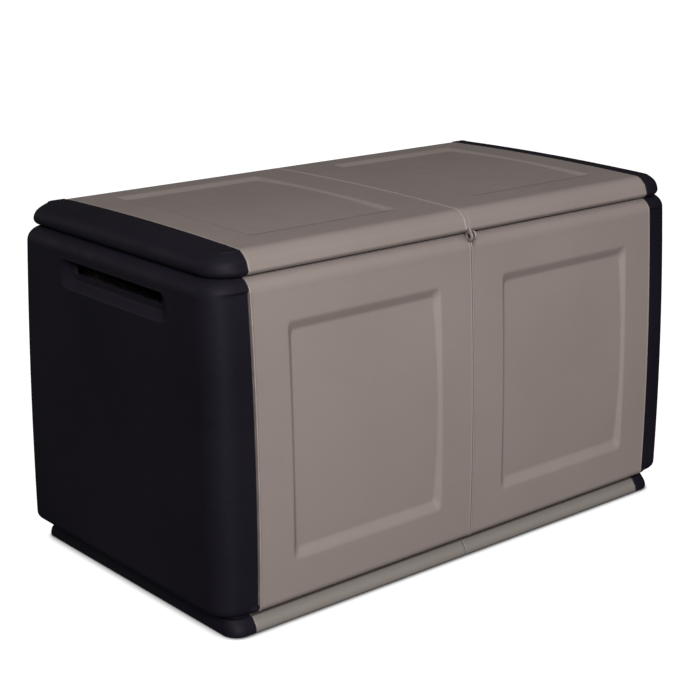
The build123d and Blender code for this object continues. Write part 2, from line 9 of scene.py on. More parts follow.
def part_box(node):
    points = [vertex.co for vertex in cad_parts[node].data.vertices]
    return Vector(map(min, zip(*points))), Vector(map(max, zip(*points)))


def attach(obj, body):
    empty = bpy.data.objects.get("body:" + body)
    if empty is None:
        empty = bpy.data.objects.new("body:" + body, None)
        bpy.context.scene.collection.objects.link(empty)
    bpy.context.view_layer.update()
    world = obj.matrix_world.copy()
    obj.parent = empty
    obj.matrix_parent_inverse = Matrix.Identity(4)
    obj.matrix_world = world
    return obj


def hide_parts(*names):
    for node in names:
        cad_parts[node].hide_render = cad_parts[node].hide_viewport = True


# Deck storage box: two taupe modules between two black ends, on a plinth,
# under a hinged two-tone lid. Shapes are worked out in millimetres.

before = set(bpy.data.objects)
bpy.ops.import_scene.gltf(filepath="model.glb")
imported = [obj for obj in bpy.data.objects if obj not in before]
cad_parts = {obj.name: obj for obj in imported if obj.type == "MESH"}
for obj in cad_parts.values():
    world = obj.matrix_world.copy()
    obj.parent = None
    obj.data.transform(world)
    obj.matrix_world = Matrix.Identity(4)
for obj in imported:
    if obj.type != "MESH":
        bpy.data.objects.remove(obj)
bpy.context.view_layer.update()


# ---------- sizes
def box_mm(node):
    """Lowest and highest corner of a CAD node in millimetres."""
    low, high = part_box(node)
    return np.array(low) * 1000, np.array(high) * 1000


wall_low, wall_high = box_mm("front_panel_right")
side_high = box_mm("side_panel_right")[1]
cap_low, cap_high = box_mm("lid_end_right")
lid_high = box_mm("lid_panel_right")[1]
floor_high = box_mm("floor_right")[1]

WALL = 3.5  # moulded wall
GAP = 0.25  # half the gap at every seam
SEAM_X = wall_high[0]
HALF_LENGTH = side_high[0]
CORNER_R = 45.0  # plan radius of the ends' front corners
REAR_TIGHT = 0.5  # the rear corners have this share of the front ones' radius

PANEL_BOTTOM = wall_low[2]
PANEL_TOP = 531.0
PANEL_SHOULDER = 511.0
ROLL_R = 25.0
ROLL_STEPS = 20
ROLL_FOOT = PANEL_TOP - ROLL_R  # where the walls start to roll in
FOOT_R = 12.0  # rounding of the panels' lower edge
TURN_STEPS = 7
RIM_TOP = wall_high[2]
RIM_HALF_X = 452.0
RIM_HALF_Y = 218.0
RIM_R = 20.0
LIP_R = 2.0  # rounding where the ledge turns up into the rain lip
HALF_DEPTH_BOTTOM = side_high[1]
HALF_DEPTH_TOP = 250.0
WALL_BOW = 6.0  # how far a wall bulges at mid-height
MOUTH_X = 458.0
MOUTH_Y = 232.0
SETBACK = 4.0  # black ends sit behind the taupe faces
SETBACK_LOW = 45.0
SETBACK_HIGH = 508.5
SETBACK_FADE = 5.5  # the setback dies away in a soft ledge under the rolled top
LEDGE_LONG = 16.0  # lower ledge of the black flank, and where it fades
LEDGE_FADE = 8.0
LEDGE_HIGH = 6.0
FLANGE_IN = 22.0  # depth of the joining flanges
FLANGE_BEHIND = 2.0  # and how far behind the wall's face they start
FLANGE_EDGE = 0.4
BEAD_WIDE = 4.0  # raised bead along the panel's edge at the black end
BEAD_HIGH = 1.0
SEAM_BEAD_WIDE = 3.6  # and at the centre seam
SEAM_BEAD_HIGH = 0.8
BEAD_EASE = 1.6  # how softly the centre bead and the lid's rib rise

RECESS_LOW = 101.5
RECESS_HIGH = 458.5
RECESS_NEAR_SEAM = 67.5
RECESS_NEAR_END = 63.5
RECESS_DEEP = 8.5
RECESS_SHALLOW = 4.0
BEVEL_RUN = (1.25, 1.9)  # bevel width per millimetre of depth, along X and Z
RECESS_CORNER = 13.0
RECESS_EDGE = 3.2

PLINTH_FOOT_X = 467.5
PLINTH_FOOT_Y = 258.0
PLINTH_FOOT_R = 4.0  # rounding under the foot
PLINTH_BROW_Z = 12.0  # the plinth's face is nearly upright up to here
PLINTH_BROW_IN = 2.5
PLINTH_BROW_R = 16.0
PLINTH_TOP = 24.8
PLINTH_HEAD_Y = 246.0
PLINTH_HEAD_R = 4.0
NECK_Y = 240.0
PLINTH_HEAD_X = 464.0
NECK_X = 459.0
BASE_CORNER_R = 25.0
KERB_TOP = floor_high[2]
KERB_Y = 231.5
RIB = 3.0
RIB_BOTTOM = 4.0
RIB_TOP = PANEL_BOTTOM - WALL + 0.5  # ribs bite half a millimetre into the floor
RIB_X = (106.0, 213.0, 320.0)
RIB_Y = (-160.0, -80.0, 0.0, 80.0, 160.0)

LID_LOW = cap_low[2]
LID_HALF_X = cap_high[0]
LID_HALF_Y = cap_high[1]
LID_SEAM_X = lid_high[0]
LID_SHOULDER = 566.0
LID_SHOULDER_R = 22.0
LID_CROWN = 4.0
LID_TOP_Y = 228.0
LID_BAND_Y = 241.0  # slanting band under the shoulder
LID_BAND_Z = 553.0
LID_BAND_R = 16.0
LID_SKIRT_Z = 538.5
LID_SKIRT_R = 5.0
LID_ROWS_Y = 216.0  # the crown's own grid lines lie within this
LID_TUCK = 4.0  # how far the lid's lower edge turns in
DOWNSTAND_GAP = 0.3  # the lid's joining flanges clear the rain lip by this much
LID_NOSE_Z = 540.7
LID_NOSE = 40.0
NOSE_FULL = 0.92  # below 1 fills the rounded end out
LID_CORNER_R = 46.0
LID_RECESS_FRONT = -172.0
LID_RECESS_REAR = 179.0
LID_RECESS_NEAR_SEAM = 82.0
LID_RECESS_NEAR_END = 58.0
LID_RECESS_DEEP = 5.0
LID_RECESS_SHALLOW = 2.5
LID_RUN = (2.5, 3.5)
LID_RECESS_CORNER = 5.0
LID_RECESS_EDGE = 1.5
RIB_WIDE = 8.0  # raised rib beside the lid's centre seam
RIB_HIGH = 1.5
RIB_END_Y = 218.0

GRIP_HALF = 140.0
GRIP_LOW = 453.0
GRIP_HIGH = 497.0
GRIP_DEPTH = 12.0
GRIP_CORNER_R = 17.0
GRIP_LOW_RUN = 12.0  # height of the surround's lower bevel
END_FIXED = 156.0  # the end face keeps fixed grid lines within this half width
END_FLANK = 4  # grid steps round an end: flank, corner and outer end face
END_TURN = 12
END_SPREAD = 4
SLOT_HALF = 115.0
SLOT_LOW = 475.0
SLOT_HIGH = 493.0
GRIP_COLLAR = 6.0

HINGE_Y = 254.0
HINGE_Z = 529.0
HINGE_PLACES = (110.0, 330.0)  # and the same on the left
KNUCKLE_R = 7.0
LID_KNUCKLE = 24.0
EAR = 12.0
KNUCKLE_GAP = 0.5
PIN_R = 2.5
PIN_HEAD_R = 4.5
PIN_ROOM = 0.1
HEEL_TILT = math.radians(10.0)  # heel that stops the lid just past upright
HEEL_LENGTH = 10.5
HEEL_HALF = 4.0

HASP_Y = -247.0
HASP_Z = 527.5
HASP_HOLE_R = 3.5
HASP_EYE_R = 8.3
BODY_TAB = (3.2, 7.2)  # where the body's and the lid's plates lie along X
LID_TAB = (-4.2, -0.6)

SCREW_R = 2.0
SCREW_HEAD_R = 4.2
SCREW_HEAD = 2.6
SCREW_LENGTH = 12.0
FLANGE_SCREW_Z = (110.0, 230.0, 350.0, 470.0)
FLANGE_SCREW_Y = 236.0
LID_SCREW_Y = (-190.0, -70.0, 70.0, 190.0)
LID_SCREW_Z = 556.0

RIM_TURNS = np.radians([30.0, 60.0, 80.0])  # steps round a moulded edge
EDGE_TURNS = np.radians([0.0, 30.0, 60.0, 90.0])
EYE_EDGE = 0.6  # rounding of an eye's hole
CREASE = math.radians(38.0)  # edges sharper than this are not smoothed
MODULE_EDGES = ((-1, 0, 0), (1, 0, 0))  # where a module's first and last edges point
END_EDGES = ((-1, 0, 0), (-1, 0, 0))  # and a black end's, both to the seam


# ---------- mesh tools
class Shape:
    """Vertices and faces of one piece, in millimetres."""

    def __init__(self):
        self.points = []
        self.faces = []

    def add(self, points, faces):
        start = len(self.points)
        self.points.extend(np.asarray(points, float).reshape(-1, 3).tolist())
        self.faces.extend([tuple(start + i for i in face) for face in faces])

    def flipped(self, axis):
        """The same piece mirrored along X (axis 0) or along Y (axis 1)."""
        other = Shape()
        points = np.array(self.points)
        points[:, axis] *= -1
        other.add(points, [tuple(reversed(face)) for face in self.faces])
        return other

    def joined(self, extra):
        both = Shape()
        both.add(self.points, self.faces)
        both.add(extra.points, extra.faces)
        return both


def unit(vectors):
    lengths = np.linalg.norm(vectors, axis=-1, keepdims=True)
    return vectors / np.maximum(lengths, 1e-9)


def tube_faces(count, rings, closed=False):
    """Faces between rings of count points; closed joins the last ring to the first."""
    faces = []
    for i in range(rings if closed else rings - 1):
        for k in range(count):
            n, m = (k + 1) % count, (i + 1) % rings
            faces.append((i * count + k, i * count + n, m * count + n, m * count + k))
    return faces


def solid_faces(count, rings):
    """Faces of a solid made of rings, with both of its ends closed."""
    ends = [tuple(range(count)), tuple(range(count * (rings - 1), count * rings))]
    return ends + tube_faces(count, rings)


def edge_zones(low, high, outside, inside):
    """Zones round the two edges of a recessed field."""
    return [(low - outside, low + inside), (high - inside, high + outside)]


def lines(low, high, coarse, zones, fine):
    """Grid lines from low to high: fine inside the zones, coarse elsewhere."""
    stops = [low, high]
    for a, b in zones:
        stops += [a, b]
    stops = sorted(s for s in set(stops) if low <= s <= high)
    result = [stops[0]]
    for a, b in zip(stops, stops[1:]):
        middle = (a + b) / 2
        dense = any(p <= middle <= q for p, q in zones)
        count = max(1, math.ceil((b - a) / (fine if dense else coarse)))
        result += [a + (b - a) * i / count for i in range(1, count + 1)]
    return np.array(result)


def rounded_path(corners, steps=5):
    """Points along (u, v, radius) corners; a radius of 0 is a plain point."""
    points = [np.array(c[:2], float) for c in corners]
    result = []
    for i, corner in enumerate(corners):
        radius = corner[2]
        if radius <= 0 or i in (0, len(corners) - 1):
            result.append(points[i])
            continue
        back = unit(points[i - 1] - points[i])
        ahead = unit(points[i + 1] - points[i])
        half = math.acos(max(-1.0, min(1.0, float(back @ ahead)))) / 2
        reach = radius / math.tan(half)
        centre = points[i] + unit(back + ahead) * radius / math.sin(half)
        start = points[i] + back * reach - centre
        end = points[i] + ahead * reach - centre
        turn = math.atan2(start[0] * end[1] - start[1] * end[0], float(start @ end))
        for k in range(steps + 1):
            c, s = math.cos(turn * k / steps), math.sin(turn * k / steps)
            spoke = np.array([c * start[0] - s * start[1], s * start[0] + c * start[1]])
            result.append(centre + spoke)
    return np.array(result)


def spanned(stations, path):
    """Arrays of x, depth and z for a cross-section carried along the stations."""
    x, d = np.meshgrid(stations, path[:, 0], indexing="ij")
    return x, d, np.broadcast_to(path[:, 1], x.shape)


def sheet(shape, outer, inner, rims, ends, directions, hole=None):
    """Closed moulded wall between two matching grids, with rounded edges.

    rims are the edge roundings at the first and last column, ends those at the
    first and last row, whose edges point along directions. hole removes the
    cells between four grid lines.
    """
    rows, columns = outer.shape[:2]
    middle = (outer + inner) / 2
    half = (outer - inner) / 2
    out, ins, mid = outer.copy(), inner.copy(), middle.copy()
    angles = np.concatenate([RIM_TURNS, math.pi - RIM_TURNS[::-1]])
    arcs = []
    for column, beside, bulge in ((0, 1, rims[0]), (columns - 1, columns - 2, rims[1])):
        tangent = unit(middle[:, column] - middle[:, beside])
        centre = middle[:, column] - tangent * bulge
        out[:, column] = centre + half[:, column]
        ins[:, column] = centre - half[:, column]
        mid[:, column] = centre
        across = half[:, column]
        arc = [centre + across * math.cos(a) + tangent * bulge * math.sin(a) for a in angles]
        arcs.append((np.stack(arc, 1), np.repeat(centre[:, None], len(angles), 1)))
    (arc0, centre0), (arc1, centre1) = arcs
    loop = np.concatenate([out, arc1, ins[:, ::-1], arc0[:, ::-1]], 1)
    core = np.concatenate([mid, centre1, mid[:, ::-1], centre0], 1)
    count = loop.shape[1]
    first, last = [], []
    for row, store, bulge, direction in zip((0, rows - 1), (first, last), ends, directions):
        bulge = np.array(direction, float) * bulge
        loop[row] -= bulge
        core[row] -= bulge
        for a in RIM_TURNS:
            store.append(core[row] + (loop[row] - core[row]) * math.cos(a) + bulge * math.sin(a))
    stations = np.stack(first[::-1] + list(loop) + last)
    extra = len(RIM_TURNS)
    total = len(stations)
    index = np.arange(total * count).reshape(total, count)
    arc = len(angles)

    def inner_column(j):
        return columns + arc + (columns - 1 - j)

    skip = set()
    faces = []
    if hole:
        i0, i1, j0, j1 = hole
        for i in range(i0 + extra, i1 + extra):
            for j in range(j0, j1):
                skip.add((i, j))
                skip.add((i, inner_column(j + 1)))
        for j in (j0, j1):
            for i in range(i0 + extra, i1 + extra):
                k = inner_column(j)
                faces.append((index[i, j], index[i + 1, j], index[i + 1, k], index[i, k]))
        for i in (i0 + extra, i1 + extra):
            for j in range(j0, j1):
                k0, k1 = inner_column(j), inner_column(j + 1)
                faces.append((index[i, j], index[i, j + 1], index[i, k1], index[i, k0]))
    for i in range(total - 1):
        for j in range(count):
            if (i, j) not in skip:
                n = (j + 1) % count
                faces.append((index[i, j], index[i, n], index[i + 1, n], index[i + 1, j]))
    for i in (0, total - 1):
        for j in range(columns - 1):
            k0, k1 = inner_column(j), inner_column(j + 1)
            faces.append((index[i, j], index[i, j + 1], index[i, k1], index[i, k0]))
        faces.append(tuple(index[i, columns - 1:columns + arc + 1]))
        faces.append(tuple(index[i, columns * 2 + arc - 1:]) + (index[i, 0],))
    shape.add(stations, faces)


def block(shape, low, high, chamfer=0.4):
    """Rectangular moulding with chamfered edges."""
    (x0, y0, z0), (x1, y1, z1) = low, high
    levels = ((chamfer, z0), (0, z0 + chamfer), (0, z1 - chamfer), (chamfer, z1))
    points = []
    k = chamfer
    for inset, z in levels:
        a, b, c, d = x0 + inset, x1 - inset, y0 + inset, y1 - inset
        points += [
            (a + k, c, z), (b - k, c, z), (b, c + k, z), (b, d - k, z),
            (b - k, d, z), (a + k, d, z), (a, d - k, z), (a, c + k, z),
        ]
    shape.add(points, solid_faces(8, len(levels)))


def reach_of(centre, angle, circle_r, polygons):
    """How far the union of a circle and some polygons reaches from centre."""
    c, s = math.cos(angle), math.sin(angle)
    best = circle_r
    for polygon in polygons:
        for (ay, az), (by, bz) in zip(polygon, polygon[1:] + polygon[:1]):
            ey, ez = by - ay, bz - az
            det = c * -ez + s * ey
            if abs(det) < 1e-9:
                continue
            qy, qz = ay - centre[0], az - centre[1]
            t = (qy * -ez + qz * ey) / det
            u = (c * qz - s * qy) / det
            if -1e-6 <= u <= 1 + 1e-6 and t > best:
                best = t
    return best


def eased_edge(radius):
    """Steps round an edge: how far in along the axis, and how far inside the outline."""
    return [(radius * (1 - math.cos(a)), radius * (1 - math.sin(a))) for a in EDGE_TURNS]


def eye_plate(shape, x0, x1, centre, hole_r, circle_r, polygons, bevel=0.8):
    """Flat plate in the YZ plane round a hole, with rounded edges."""
    angles = list(np.radians(np.arange(0, 360, 5.0)))
    for polygon in polygons:
        angles += [math.atan2(z - centre[1], y - centre[0]) % (2 * math.pi) for y, z in polygon]
    angles = sorted(set(round(a, 5) for a in angles))
    outline = np.array([reach_of(centre, a, circle_r, polygons) for a in angles])
    bore = np.full(len(angles), hole_r)
    outer, inner = eased_edge(bevel), eased_edge(EYE_EDGE)
    rings = [(x0 + along, outline - inset) for along, inset in outer]
    rings += [(x1 - along, outline - inset) for along, inset in reversed(outer)]
    rings += [(x1 - along, bore + inset) for along, inset in inner]
    rings += [(x0 + along, bore + inset) for along, inset in reversed(inner)]
    points = []
    for x, reach in rings:
        for a, r in zip(angles, reach):
            points.append((x, centre[0] + r * math.cos(a), centre[1] + r * math.sin(a)))
    shape.add(points, tube_faces(len(angles), len(rings), closed=True))


def lathe(shape, profile, y, z, side, steps=32):
    """Turned part along X from (x, radius) points; side flips it in X."""
    points = []
    for x, r in profile:
        for k in range(steps):
            a = 2 * math.pi * k / steps
            points.append((x * side, y + r * math.cos(a), z + r * math.sin(a)))
    shape.add(points, solid_faces(steps, len(profile)))


def build(name, shape, material, body):
    """Make the Blender piece, ride it on its body and replace the CAD node of its name."""
    mesh = bpy.data.meshes.new(name)
    points = (np.array(shape.points) * 0.001).tolist()
    mesh.from_pydata(points, [], [tuple(int(i) for i in face) for face in shape.faces])
    work = bmesh.new()
    work.from_mesh(mesh)
    bmesh.ops.remove_doubles(work, verts=work.verts, dist=1e-6)
    bmesh.ops.dissolve_degenerate(work, dist=1e-7, edges=work.edges)
    bmesh.ops.recalc_face_normals(work, faces=work.faces)
    work.to_mesh(mesh)
    work.free()
    mesh.shade_smooth()
    mesh.set_sharp_from_angle(angle=CREASE)
    mesh.materials.append(material)
    piece = bpy.data.objects.new(name, mesh)
    bpy.context.scene.collection.objects.link(piece)
    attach(piece, body)
    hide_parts(name)


# ---------- soft maths
def soft_positive(value, width):
    """max(value, 0) with its corner rounded over width."""
    value = np.asarray(value, float)
    curve = (value + width / 2) ** 2 / (2 * width)
    return np.where(value <= -width / 2, 0.0, np.where(value >= width / 2, value, curve))


def soft_min(a, b, width):
    return a - soft_positive(a - b, width)


def smooth_step(value):
    t = np.clip(value, 0, 1)
    return t * t * (3 - 2 * t)


def bowed_depth(v, v_range, shallow, deep):
    """Depth of a field's floor: shallow in the middle of its range, deep at its edges."""
    t = (v - (v_range[0] + v_range[1]) / 2) / ((v_range[1] - v_range[0]) / 2)
    return shallow + (deep - shallow) * t * t


def field_depth(u, v, u_range, v_range, runs, depth, corner, edge):
    """Depth of a recessed field with bevelled sides and rounded corners."""
    du = np.minimum(u - u_range[0], u_range[1] - u) / runs[0]
    dv = np.minimum(v - v_range[0], v_range[1] - v) / runs[1]
    ramp = soft_positive(soft_min(du, dv, corner), edge)
    return soft_min(ramp, depth, edge)


# ---------- body walls
def half_depth(z):
    """Half depth of the body at height z: a lean inwards plus a bow."""
    t = (z - PANEL_BOTTOM) / (PANEL_SHOULDER - PANEL_BOTTOM)
    straight = HALF_DEPTH_BOTTOM + (HALF_DEPTH_TOP - HALF_DEPTH_BOTTOM) * t
    return straight + WALL_BOW * 4 * t * (1 - t)


def face_depth(z):
    """Half depth at height z, following the rolled top as well."""
    rise = max(z - ROLL_FOOT, 0.0)
    return half_depth(min(z, ROLL_FOOT)) - ROLL_R + math.sqrt(ROLL_R ** 2 - rise ** 2)


FLANGE_ROWS = np.concatenate([
    np.linspace(PANEL_BOTTOM + FOOT_R, ROLL_FOOT, 16), ROLL_FOOT + np.linspace(3, 17, 6),
])


def flange(shape, x0, x1, side, behind):
    """Joining flange at a wall's end, starting this far behind the wall's face."""
    inner, edge = HALF_DEPTH_TOP - FLANGE_IN, FLANGE_EDGE
    foot = [(x1, inner + edge), (x1 - edge, inner), (x0 + edge, inner), (x0, inner + edge)]
    points = []
    for z in FLANGE_ROWS:
        outer = face_depth(z) - behind
        points += [(x, side * y, z) for x, y in [(x0, outer), (x1, outer)] + foot]
    shape.add(points, solid_faces(6, len(FLANGE_ROWS)))


WALL_ZONES = edge_zones(RECESS_LOW, RECESS_HIGH, 4.5, 22.5)
WALL_ROWS = lines(PANEL_BOTTOM + FOOT_R + 1.5, ROLL_FOOT - 1.5, 13.0, WALL_ZONES, 1.1)


def wall_path(inset):
    """Cross-section of a wall as (half depth, z), from foot to rain lip."""
    corners = [(MOUTH_Y, PANEL_BOTTOM + inset, 0)]
    corners += [(HALF_DEPTH_BOTTOM - inset, PANEL_BOTTOM + inset, FOOT_R - inset)]
    corners += [(half_depth(z) - inset, z, 0) for z in WALL_ROWS]
    corners += [(half_depth(ROLL_FOOT) - inset, PANEL_TOP - inset, ROLL_R - inset)]
    corners += [(RIM_HALF_Y + WALL - inset, PANEL_TOP - inset, LIP_R + inset)]
    corners += [(RIM_HALF_Y + WALL - inset, RIM_TOP, 0)]
    return rounded_path(corners, TURN_STEPS)


def recess(x, z):
    """Depth of a wall panel's recessed field, shallower at mid-height."""
    x_range = (RECESS_NEAR_SEAM, SEAM_X - RECESS_NEAR_END)
    z_range = (RECESS_LOW, RECESS_HIGH)
    depth = bowed_depth(z, z_range, RECESS_SHALLOW, RECESS_DEEP)
    return field_depth(x, z, x_range, z_range, BEVEL_RUN, depth, RECESS_CORNER, RECESS_EDGE)


def seam_bead(x):
    """Raised bead along the panel's edge next to the centre seam."""
    return SEAM_BEAD_HIGH * smooth_step((SEAM_BEAD_WIDE - x) / BEAD_EASE)


def end_bead(x):
    """Raised bead along the panel's edge next to the black end."""
    return BEAD_HIGH * smooth_step((x - SEAM_X + BEAD_WIDE) / (BEAD_WIDE - 1.0))


def wall_panel():
    """Front wall of the right-hand module."""
    shape = Shape()
    zones = edge_zones(RECESS_NEAR_SEAM, SEAM_X - RECESS_NEAR_END, 3, 15)
    zones += [(4.0, 6.0), (SEAM_X - 8, SEAM_X - 4)]
    stations = np.concatenate([
        [GAP, 2.0, 2.4, 2.8, 3.2, 3.6],
        lines(4.0, SEAM_X - 4.0, 14.0, zones, 0.9),
        SEAM_X - np.array([3.2, 2.6, 2.0, GAP]),
    ])
    grids = []
    for inset in (0.0, WALL):
        x, d, z = spanned(stations, wall_path(inset))
        face = (z > RECESS_LOW - 20) & (z < RECESS_HIGH + 20) & (d > half_depth(z) - inset - 1)
        d = d - np.where(face, recess(x, z), 0.0)
        outside = smooth_step((d - MOUTH_Y - 8) / 10)
        d = d + outside * (seam_bead(x) + end_bead(x))
        grids.append(np.stack([x, -d, z], -1))
    sheet(shape, *grids, (1.2, 1.6), (1.8, 1.5), MODULE_EDGES)
    for x0, x1 in ((0.0, WALL), (SEAM_X - WALL, SEAM_X)):
        flange(shape, x0, x1, -1, FLANGE_BEHIND)
    return shape


def hinge_ears(shape, x):
    """Two ears that hold a hinge pin at the rear wall's top, and the web between them."""
    inner = LID_KNUCKLE / 2 + KNUCKLE_GAP
    foot = PANEL_SHOULDER - 22
    arm = [
        (HALF_DEPTH_TOP - 2, foot), (HINGE_Y + KNUCKLE_R - 0.5, HINGE_Z - 8),
        (HINGE_Y + KNUCKLE_R - 0.3, HINGE_Z), (HINGE_Y - KNUCKLE_R + 2, HINGE_Z - 4),
        (HALF_DEPTH_TOP - 8, PANEL_SHOULDER + 2),
    ]
    for side in (-1, 1):
        x0, x1 = sorted((x + side * inner, x + side * (inner + EAR)))
        eye_plate(shape, x0, x1, (HINGE_Y, HINGE_Z), PIN_R + PIN_ROOM, KNUCKLE_R, [arm], 1.0)
    web_low = (x - inner - 1, HINGE_Y - 10.3, PANEL_SHOULDER - 10)
    block(shape, web_low, (x + inner + 1, HINGE_Y - 4.3, HINGE_Z - 8), 0.8)


# ---------- black ends
def end_walk(y_lines, flank=END_FLANK, turn=END_TURN, spread=END_SPREAD):
    """Stations round an end: flank, corner, end face, corner, flank.

    Each is (kind, side, share): side is -1 at the front and 1 at the rear, and
    share grows from 0 to 1 along its stretch, away from the seam. A station on
    a fixed line of the end face holds its y instead.
    """
    walk = [("flank", -1, k / flank) for k in range(flank)]
    walk += [("corner", -1, k / turn) for k in range(turn)]
    walk += [("spread", -1, k / spread) for k in range(spread)]
    walk += [("line", 0, y) for y in y_lines]
    walk += [("spread", 1, 1 - k / spread) for k in range(1, spread + 1)]
    walk += [("corner", 1, 1 - k / turn) for k in range(1, turn + 1)]
    walk += [("flank", 1, 1 - k / flank) for k in range(1, flank + 1)]
    return walk


def walk_point(half_x, half_y, radius, step, seam_x):
    """Plan position of one station on a rounded outline, and how far it faces Y."""
    kind, side, share = step
    if side > 0:
        radius *= REAR_TIGHT
    corner_x, corner_y = half_x - radius, half_y - radius
    if kind == "flank":
        return seam_x + (corner_x - seam_x) * share, side * half_y, 1.0
    if kind == "corner":
        s, c = math.sin(share * math.pi / 2), math.cos(share * math.pi / 2)
        return corner_x + radius * s, side * (corner_y + radius * c), c ** 2
    if kind == "spread":
        return half_x, side * (corner_y + (END_FIXED - corner_y) * share), 0.0
    return half_x, share, 0.0


def walk_grid(walk, rings):
    """Grid of points from (half x, half y, corner radius, z) rings."""
    grid = np.zeros((len(walk), len(rings), 3))
    for i, step in enumerate(walk):
        for j, (half_x, half_y, radius, z) in enumerate(rings):
            x, y, _ = walk_point(half_x, half_y, radius, step, SEAM_X + GAP)
            grid[i, j] = (x, y, z)
    return grid


def grip_depth(y, z):
    """Depth of the bevelled hand-grip surround, rounded at its corners."""
    short = np.clip(GRIP_CORNER_R - np.minimum(z - GRIP_LOW, GRIP_HIGH - z), 0, GRIP_CORNER_R)
    half = GRIP_HALF - GRIP_CORNER_R + np.sqrt(GRIP_CORNER_R ** 2 - short ** 2)
    side = (half - np.abs(y)) * GRIP_DEPTH / (GRIP_HALF - SLOT_HALF)
    low = (z - GRIP_LOW) * GRIP_DEPTH / GRIP_LOW_RUN
    high = (GRIP_HIGH - z) * GRIP_DEPTH / (GRIP_HIGH - SLOT_HIGH)
    ramp = soft_positive(soft_min(soft_min(side, low, 8.0), high, 6.0), 4.0)
    return soft_min(ramp, GRIP_DEPTH, 2.5)


def merged(*groups):
    """All the values in rising order, each once."""
    return np.array(sorted(set(np.round(np.concatenate(groups), 4))))


def side_rows():
    """Heights of the black end's grid lines, from above its foot to the roll."""
    zones = [(SETBACK_LOW - 4, SETBACK_LOW + 4), (GRIP_LOW - 3, GRIP_LOW + 5), (SLOT_LOW - 4, ROLL_FOOT)]
    rows = lines(PANEL_BOTTOM + FOOT_R + 1.5, ROLL_FOOT - 0.5, 12.0, zones, 0.9)
    bevel_rows = lines(GRIP_LOW + 5, SLOT_LOW - 4, 2.0, [], 1)
    return merged(rows, bevel_rows, [SLOT_LOW, SLOT_HIGH])


def side_rings(inset, rows):
    """Rings of the black end, foot to rain lip: half x, half y, corner radius, z."""
    end, corner = HALF_LENGTH - inset, CORNER_R - inset
    rings = [(MOUTH_X, MOUTH_Y, RIM_R, PANEL_BOTTOM + inset)]
    reach = 20
    foot = [(0, 0, 0), (reach, 0, FOOT_R - inset), (reach, reach, 0)]
    for u, v in rounded_path(foot, TURN_STEPS)[1:-1]:
        back = reach - u
        rings.append((end - back, HALF_DEPTH_BOTTOM - inset - back, corner, PANEL_BOTTOM + inset + v))
    rings += [(end, half_depth(z) - inset, corner, z) for z in rows]
    roll, shoulder = ROLL_R - inset, half_depth(ROLL_FOOT) - inset
    for k in range(ROLL_STEPS + 1):
        a = math.pi / 2 * k / ROLL_STEPS
        back = roll * (1 - math.cos(a))
        rings.append((end - back, shoulder - back, corner - back, ROLL_FOOT + roll * math.sin(a)))
    grow = WALL - inset
    for u, v in rounded_path([(10, 0, 0), (0, 0, LIP_R + inset), (0, 10, 0)], 5)[1:-1]:
        out = grow + u
        rings.append((RIM_HALF_X + out, RIM_HALF_Y + out, RIM_R + out, PANEL_TOP - inset + v))
    rings.append((RIM_HALF_X + grow, RIM_HALF_Y + grow, RIM_R + grow, RIM_TOP))
    return rings


def set_back(grid, facing):
    """Move the black flanks behind the taupe faces, between the two ledges."""
    x, y, z = grid[..., 0], grid[..., 1], grid[..., 2]
    near_seam = smooth_step((SEAM_X + LEDGE_LONG - x) / LEDGE_FADE)
    below = smooth_step((SETBACK_LOW + LEDGE_HIGH / 2 - z) / LEDGE_HIGH) * near_seam
    above = smooth_step((z - SETBACK_HIGH) / SETBACK_FADE)
    is_wall = (z > PANEL_BOTTOM + 2 * WALL) | (np.abs(y) > MOUTH_Y + 12)
    set_in = SETBACK * (1 - below) * (1 - above) * is_wall * facing[:, None] ** 4
    grid[..., 1] -= np.sign(y) * set_in


def side_panel():
    """Black end wall on the +X side, with its hand grip."""
    rows = side_rows()
    y_zones = edge_zones(-GRIP_HALF, GRIP_HALF, 6, 32)
    y_lines = merged(lines(-END_FIXED + 8, END_FIXED - 8, 12.0, y_zones, 1.4), [-SLOT_HALF, SLOT_HALF])
    walk = end_walk(y_lines)
    outline = (HALF_LENGTH, HALF_DEPTH_TOP, CORNER_R)
    facing = np.array([walk_point(*outline, step, SEAM_X)[2] for step in walk])
    grids = []
    for inset in (0.0, WALL):
        rings = side_rings(inset, rows)
        grid = walk_grid(walk, rings)
        set_back(grid, facing)
        x, y, z = grid[..., 0], grid[..., 1], grid[..., 2]
        face = (x > HALF_LENGTH - inset - 0.01) & (z > GRIP_LOW - 5) & (z < GRIP_HIGH + 5)
        grid[..., 0] -= np.where(face, grip_depth(y, z), 0.0)
        grids.append(grid)
    heights = [ring[3] for ring in rings]
    slot = [walk.index(("line", 0, y)) for y in (-SLOT_HALF, SLOT_HALF)]
    slot += [heights.index(z) for z in (SLOT_LOW, SLOT_HIGH)]
    shape = Shape()
    sheet(shape, *grids, (1.2, 1.6), (1.3, 1.3), END_EDGES, slot)
    grip_collar(shape)
    for side in (-1, 1):
        flange(shape, SEAM_X, SEAM_X + WALL, side, SETBACK + FLANGE_BEHIND)
    return shape


